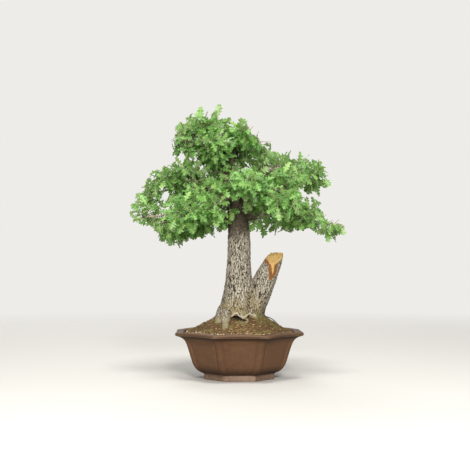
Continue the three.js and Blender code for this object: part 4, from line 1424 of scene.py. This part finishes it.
def make_foliage(name, seats, own_shoots):
    """The twigs and leaves of all the sprays on one limb, as one piece."""
    outer, inner = leaf_template(OUTER_SHARES), leaf_template(INNER_SHARES)
    chance = np.random.RandomState(sum(seat["seed"] for seat in seats))
    twigs = Shape()
    points, blade_faces, spots, tints, youths = [], [], [], [], []
    first = 0
    grown = [(*grow_spray(seat), chance.rand()) for seat in seats] + [(None, own_shoots, chance.rand())]
    for stations, shoots, own in grown:
        if stations:
            twigs.stem(stations, sides=6)
        for start, heading, reach, leaves in shoots:
            if leaves:
                bowed = [(start + heading * (reach * v) + UP * (2.0 * v * v), heading, mix(1.3, 0.7, v))
                         for v in (0, 0.35, 0.7, 1.0)]
                twigs.stem(bowed, sides=5)
            for leaf in leaves:
                bends = random_bends(chance)
                places, template = outer if leaf["order"] < OUTER_LEAVES else inner
                points.append(leaf_points(places, leaf, bends))
                blade_faces.extend((template + first).tolist())
                spots.append(places + (0, 0.5))
                first += len(places)
                tint = np.clip(0.2 * own + 0.95 * chance.rand() - 0.05 * leaf["order"], 0, 1)
                youth = 0.6 * chance.rand() ** 3 if leaf["order"] < YOUNG_LEAVES else 0.0
                tints.append(np.full(len(places), tint))
                youths.append(np.full(len(places), youth))
    faces = blade_faces + [tuple(first + i for i in face) for face in twigs.faces]
    points.append(np.array([tuple(p) for p in twigs.points]))
    piece = mesh_object("foliage_" + name, np.concatenate(points), faces, [LEAF, TWIG])
    mesh = piece.data
    slots = np.zeros(len(mesh.polygons), np.int32)
    slots[len(blade_faces):] = 1
    mesh.polygons.foreach_set("material_index", slots)
    spare = np.zeros(len(twigs.points))
    set_attribute(mesh, "tint", np.concatenate(tints + [spare]))
    set_attribute(mesh, "youth", np.concatenate(youths + [spare]))
    corners = np.empty(len(mesh.loops), np.int32)
    mesh.loops.foreach_get("vertex_index", corners)
    spots = np.concatenate(spots + [np.full((len(twigs.points), 2), 0.5)])
    mesh.uv_layers.new(name="blade").data.foreach_set("uv", spots[corners].astype(np.float32).ravel())
    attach(piece, "root")
    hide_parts(*("spray_" + seat["name"] for seat in seats))


# Soil and what lies on it


def inner_reach(angle, shrink):
    """Distance from the axis to the pot's inner wall at soil level, less a gap."""
    turn = (angle - POT_TURN + math.pi / 8) % (math.pi / 4) - math.pi / 8
    return min((SOIL_FLAT - shrink) / math.cos(turn), SOIL_CORNER - shrink)


def make_soil():
    shape = Shape()
    rings = []
    angles = turns(160)
    for height, apothem in SOIL_SIDES:
        reaches = [(apothem / SOIL_FLAT * inner_reach(t, 0), t) for t in angles]
        rings.append([(reach * math.cos(t), reach * math.sin(t), height) for reach, t in reaches])
    for i in range(SOIL_RINGS):
        share = 1 - i / SOIL_RINGS
        ring = []
        for t in angles:
            reach = inner_reach(t, 0.4) * share
            x, y = reach * math.cos(t), reach * math.sin(t)
            lumps = soil_lumps(x, y) * min(1.0, 6 * (1 - share))
            ring.append((x, y, float(soil_height(x, y)) + lumps - 1.0))
        rings.append(ring)
    shape.loft(rings)
    soil = mesh_object("soil_mound", shape.points, shape.faces, [SOIL])
    set_attribute(soil.data, "tint", [0.5 + 0.5 * noise.noise(Vector(p) / 12) for p in shape.points])
    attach(soil, "root")
    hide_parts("soil")


def scatter(name, material, spots, template, seed, squash=(0.6, 1.0)):
    """Small stones, chips or tufts at spots of x, y, height and size, as one piece."""
    chance = np.random.RandomState(seed)
    places, faces = template
    clouds, tints = [], []
    for x, y, z, size in spots:
        turn = Matrix.Rotation(chance.uniform(0, 6.28), 3, "Z")
        turn = turn @ Matrix.Rotation(chance.normal(0, 0.35), 3, "X")
        scale = size * chance.uniform(*squash, 3)
        grown = places * scale * (1 + 0.18 * chance.randn(len(places), 1))
        clouds.append(grown @ np.array(turn).T + (x, y, z))
        tints.append(np.full(len(places), chance.rand()))
    starts = np.arange(len(spots)) * len(places)
    joined = (faces[None] + starts[:, None, None]).reshape(-1, faces.shape[1])
    piece = mesh_object(name, np.concatenate(clouds), joined.tolist(), [material], smooth=False)
    set_attribute(piece.data, "tint", np.concatenate(tints))
    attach(piece, "root")


def pebble():
    edit = bmesh.new()
    bmesh.ops.create_icosphere(edit, subdivisions=1, radius=0.5)
    places = np.array([tuple(v.co) for v in edit.verts])
    faces = np.array([[v.index for v in f.verts] for f in edit.faces])
    edit.free()
    return places, faces


def chip():
    """A flake of bark: long, thin and pointed at both ends."""
    rim = [(-0.9, 0, 0), (-0.3, 0.28, 0.02), (0.5, 0.24, -0.02), (0.9, 0, 0.03), (0.3, -0.26, 0),
           (-0.5, -0.22, 0.03)]
    places = np.array(rim + [(0, 0, 0.16), (0, 0, -0.14)])
    above = [((k + 1) % 6, k, 6) for k in range(6)]
    below = [(k, (k + 1) % 6, 7) for k in range(6)]
    return places, np.array(above + below)


def tuft():
    """A tuft of moss: five pointed leaflets from one foot."""
    places, faces = [(0, 0, 0)], []
    for t in turns(5):
        first = len(places)
        places += [(0.22 * math.cos(t - 0.5), 0.22 * math.sin(t - 0.5), 0.1),
                   (0.22 * math.cos(t + 0.5), 0.22 * math.sin(t + 0.5), 0.1),
                   (0.5 * math.cos(t), 0.5 * math.sin(t), 0.75)]
        faces += [(0, first, first + 1), (first, first + 2, first + 1)]
    return np.array(places), np.array(faces)


def ground_spots(likely, count, size, seed):
    """Random spots on the soil, as many as a rule lets through, with a size each."""
    chance = np.random.RandomState(seed)
    spots = []
    while len(spots) < count:
        angle, share = chance.uniform(0, 2 * math.pi), math.sqrt(chance.rand())
        reach = inner_reach(angle, 3.5) * share
        x, y = reach * math.cos(angle), reach * math.sin(angle)
        if share > 0.3 and chance.rand() < likely(x, y, share):
            z = float(soil_height(x, y)) + soil_lumps(x, y) - 1.0
            spots.append((x, y, z, chance.uniform(*size)))
    return spots


# How likely a spot at x and y, at a share of the way to the wall, is to be kept


def anywhere(*_):
    return 1.0


def along_the_lip(x, y, share):
    """Gravel: right at the lip in front, and a little near it all round."""
    if share > 0.965 and y < 0 and x < 90:
        return 1.0
    return 0.1 if share > 0.94 else 0.0


def under_the_trunk(x, y, *_):
    """Litter: in front of the trunk most of all."""
    return 0.12 + 0.88 * (y < -60) * math.exp(-(((x - 5) / 48) ** 2))


def on_damp_ground(x, y, share):
    """Moss: in patches, most of all to the right of the trunk."""
    damp = noise.noise(Vector((x, y, 40)) / 26) + 0.7 * spot(x, y, (85, -15), (45, 55)) - 0.12
    return 1.0 if damp > 0.15 and share < 0.95 else 0.01


def make_ground_cover():
    grains = ground_spots(anywhere, count=3400, size=(1.6, 4.4), seed=3)
    scatter("soil_grains", GRAIN, grains, pebble(), seed=5)
    gravel = ground_spots(along_the_lip, count=110, size=(2.0, 3.8), seed=7)
    scatter("pale_gravel", GRAVEL, gravel, pebble(), seed=9)
    litter = ground_spots(under_the_trunk, count=330, size=(4.0, 9.0), seed=11)
    scatter("bark_litter", LITTER, litter, chip(), seed=13, squash=(0.6, 1.1))
    moss = ground_spots(on_damp_ground, count=3000, size=(2.6, 4.4), seed=17)
    scatter("moss_tufts", MOSS, moss, tuft(), seed=19, squash=(0.8, 1.2))


def dress_screens():
    """Gives the two drain screens, which stay as the solids are, their plastic."""
    for name in ("drain_screen_left", "drain_screen_right"):
        grid = bpy.data.objects[name]
        grid.data.materials.clear()
        grid.data.materials.append(SCREEN)


# Camera, light and floor

PHOTO_SIDE = 470
PIXEL = 2.95  # millimetres that a pixel spans at the middle of the pot
CAMERA_RISE = 32.25 / PHOTO_SIDE  # how far the view is shifted up, as a share of its width
CAMERA_SENSOR = 36
# Lights: name, place, size, power and colour
LIGHTS = [
    ("soft_key", (0.4, -3.4, 1.7), 0.75, 101, (1.0, 0.97, 0.92)),
    ("soft_top", (0.1, -1.5, 3.3), 1.0, 68, (1.0, 0.98, 0.94)),
    ("soft_fill", (-1.0, -3.1, 0.3), 1.4, 38, (1.0, 0.98, 0.93)),
    ("soft_back", (-0.6, 2.6, 2.8), 2.0, 45, (1.0, 0.98, 0.95)),
]
LIT_POINT = Vector((0, 0, 0.4))
FLOOR_RINGS = (9000, 2500, 800, 200, 1)


def make_camera():
    at = Vector((VIEW_X, -VIEW_DISTANCE, VIEW_HEIGHT)) * MM
    lens = bpy.data.cameras.new("photo_camera")
    lens.sensor_width = CAMERA_SENSOR
    lens.lens = CAMERA_SENSOR * -at.y / (PHOTO_SIDE * PIXEL * MM)
    lens.clip_end = 60
    lens.shift_y = CAMERA_RISE
    camera = bpy.data.objects.new("photo_camera", lens)
    camera.location = at
    camera.rotation_euler = (math.pi / 2, 0, 0)
    bpy.context.collection.objects.link(camera)
    bpy.context.scene.camera = camera


def make_light(name, at, size, energy, colour):
    data = bpy.data.lights.new(name, "AREA")
    data.shape = "DISK"
    data.size = size
    data.energy = energy
    data.color = colour
    light = bpy.data.objects.new(name, data)
    light.location = at
    light.rotation_euler = (LIT_POINT - Vector(at)).to_track_quat("-Z", "Y").to_euler()
    bpy.context.collection.objects.link(light)


def make_studio():
    for light in LIGHTS:
        make_light(*light)
    world = bpy.data.worlds.new("pale_studio")
    bpy.context.scene.world = world
    world.use_nodes = True
    nodes = Nodes(world.node_tree)
    sky = world.node_tree.nodes["Background"]
    sky.inputs["Color"].default_value = STUDIO_AIR
    in_view = nodes.node("ShaderNodeLightPath").outputs["Is Camera Ray"]
    nodes.link(nodes.math("ADD", nodes.math("MULTIPLY", in_view, 0.5), 0.5), sky.inputs["Strength"])
    bpy.context.scene.view_settings.view_transform = "Standard"

    floor = Shape()
    floor.loft([round_ring(radius, 0, 64) for radius in FLOOR_RINGS], caps=False)
    material, nodes, shader = new_material("studio_floor")
    in_view = nodes.node("ShaderNodeLightPath").outputs["Is Camera Ray"]
    nodes.link(nodes.blend(in_view, FLOOR_AS_LIT, FLOOR_AS_SEEN), shader.inputs["Base Color"])
    shader.inputs["Roughness"].default_value = 0.9
    far = nodes.node("ShaderNodeVectorMath", operation="LENGTH")
    nodes.link(nodes.node("ShaderNodeTexCoord").outputs["Object"], far.inputs[0])
    fading = nodes.spread(far.outputs["Value"], 0.5, 4.0, to_low=1.0, to_high=0.0)
    nodes.link(fading, shader.inputs["Alpha"])
    mesh_object("studio_floor", floor.points, floor.faces, [material])


# The whole

make_camera()
make_studio()
all_seats = [seat for i, limb in enumerate(LIMBS) for seat in limb_seats(limb, LIMB_SEED + i)]
all_seats += apex_seats(APEX_SEED)
make_pot()
make_wood(all_seats)
make_rootlet()
for number, limb in enumerate(LIMBS):
    sprays = [seat for seat in all_seats if seat["limb"] == limb[0]]
    make_foliage(limb[0], sprays, limb_shoots(limb_curve(limb), limb[4], LIMB_SEED + number))
leader = [trunk_centre(height) for height in LEADER_HEIGHTS]
apex_sprays = [seat for seat in all_seats if seat["limb"] == "apex"]
make_foliage("apex", apex_sprays, limb_shoots(leader, LEADER_RADIUS, APEX_SEED))
make_soil()
make_ground_cover()
dress_screens()
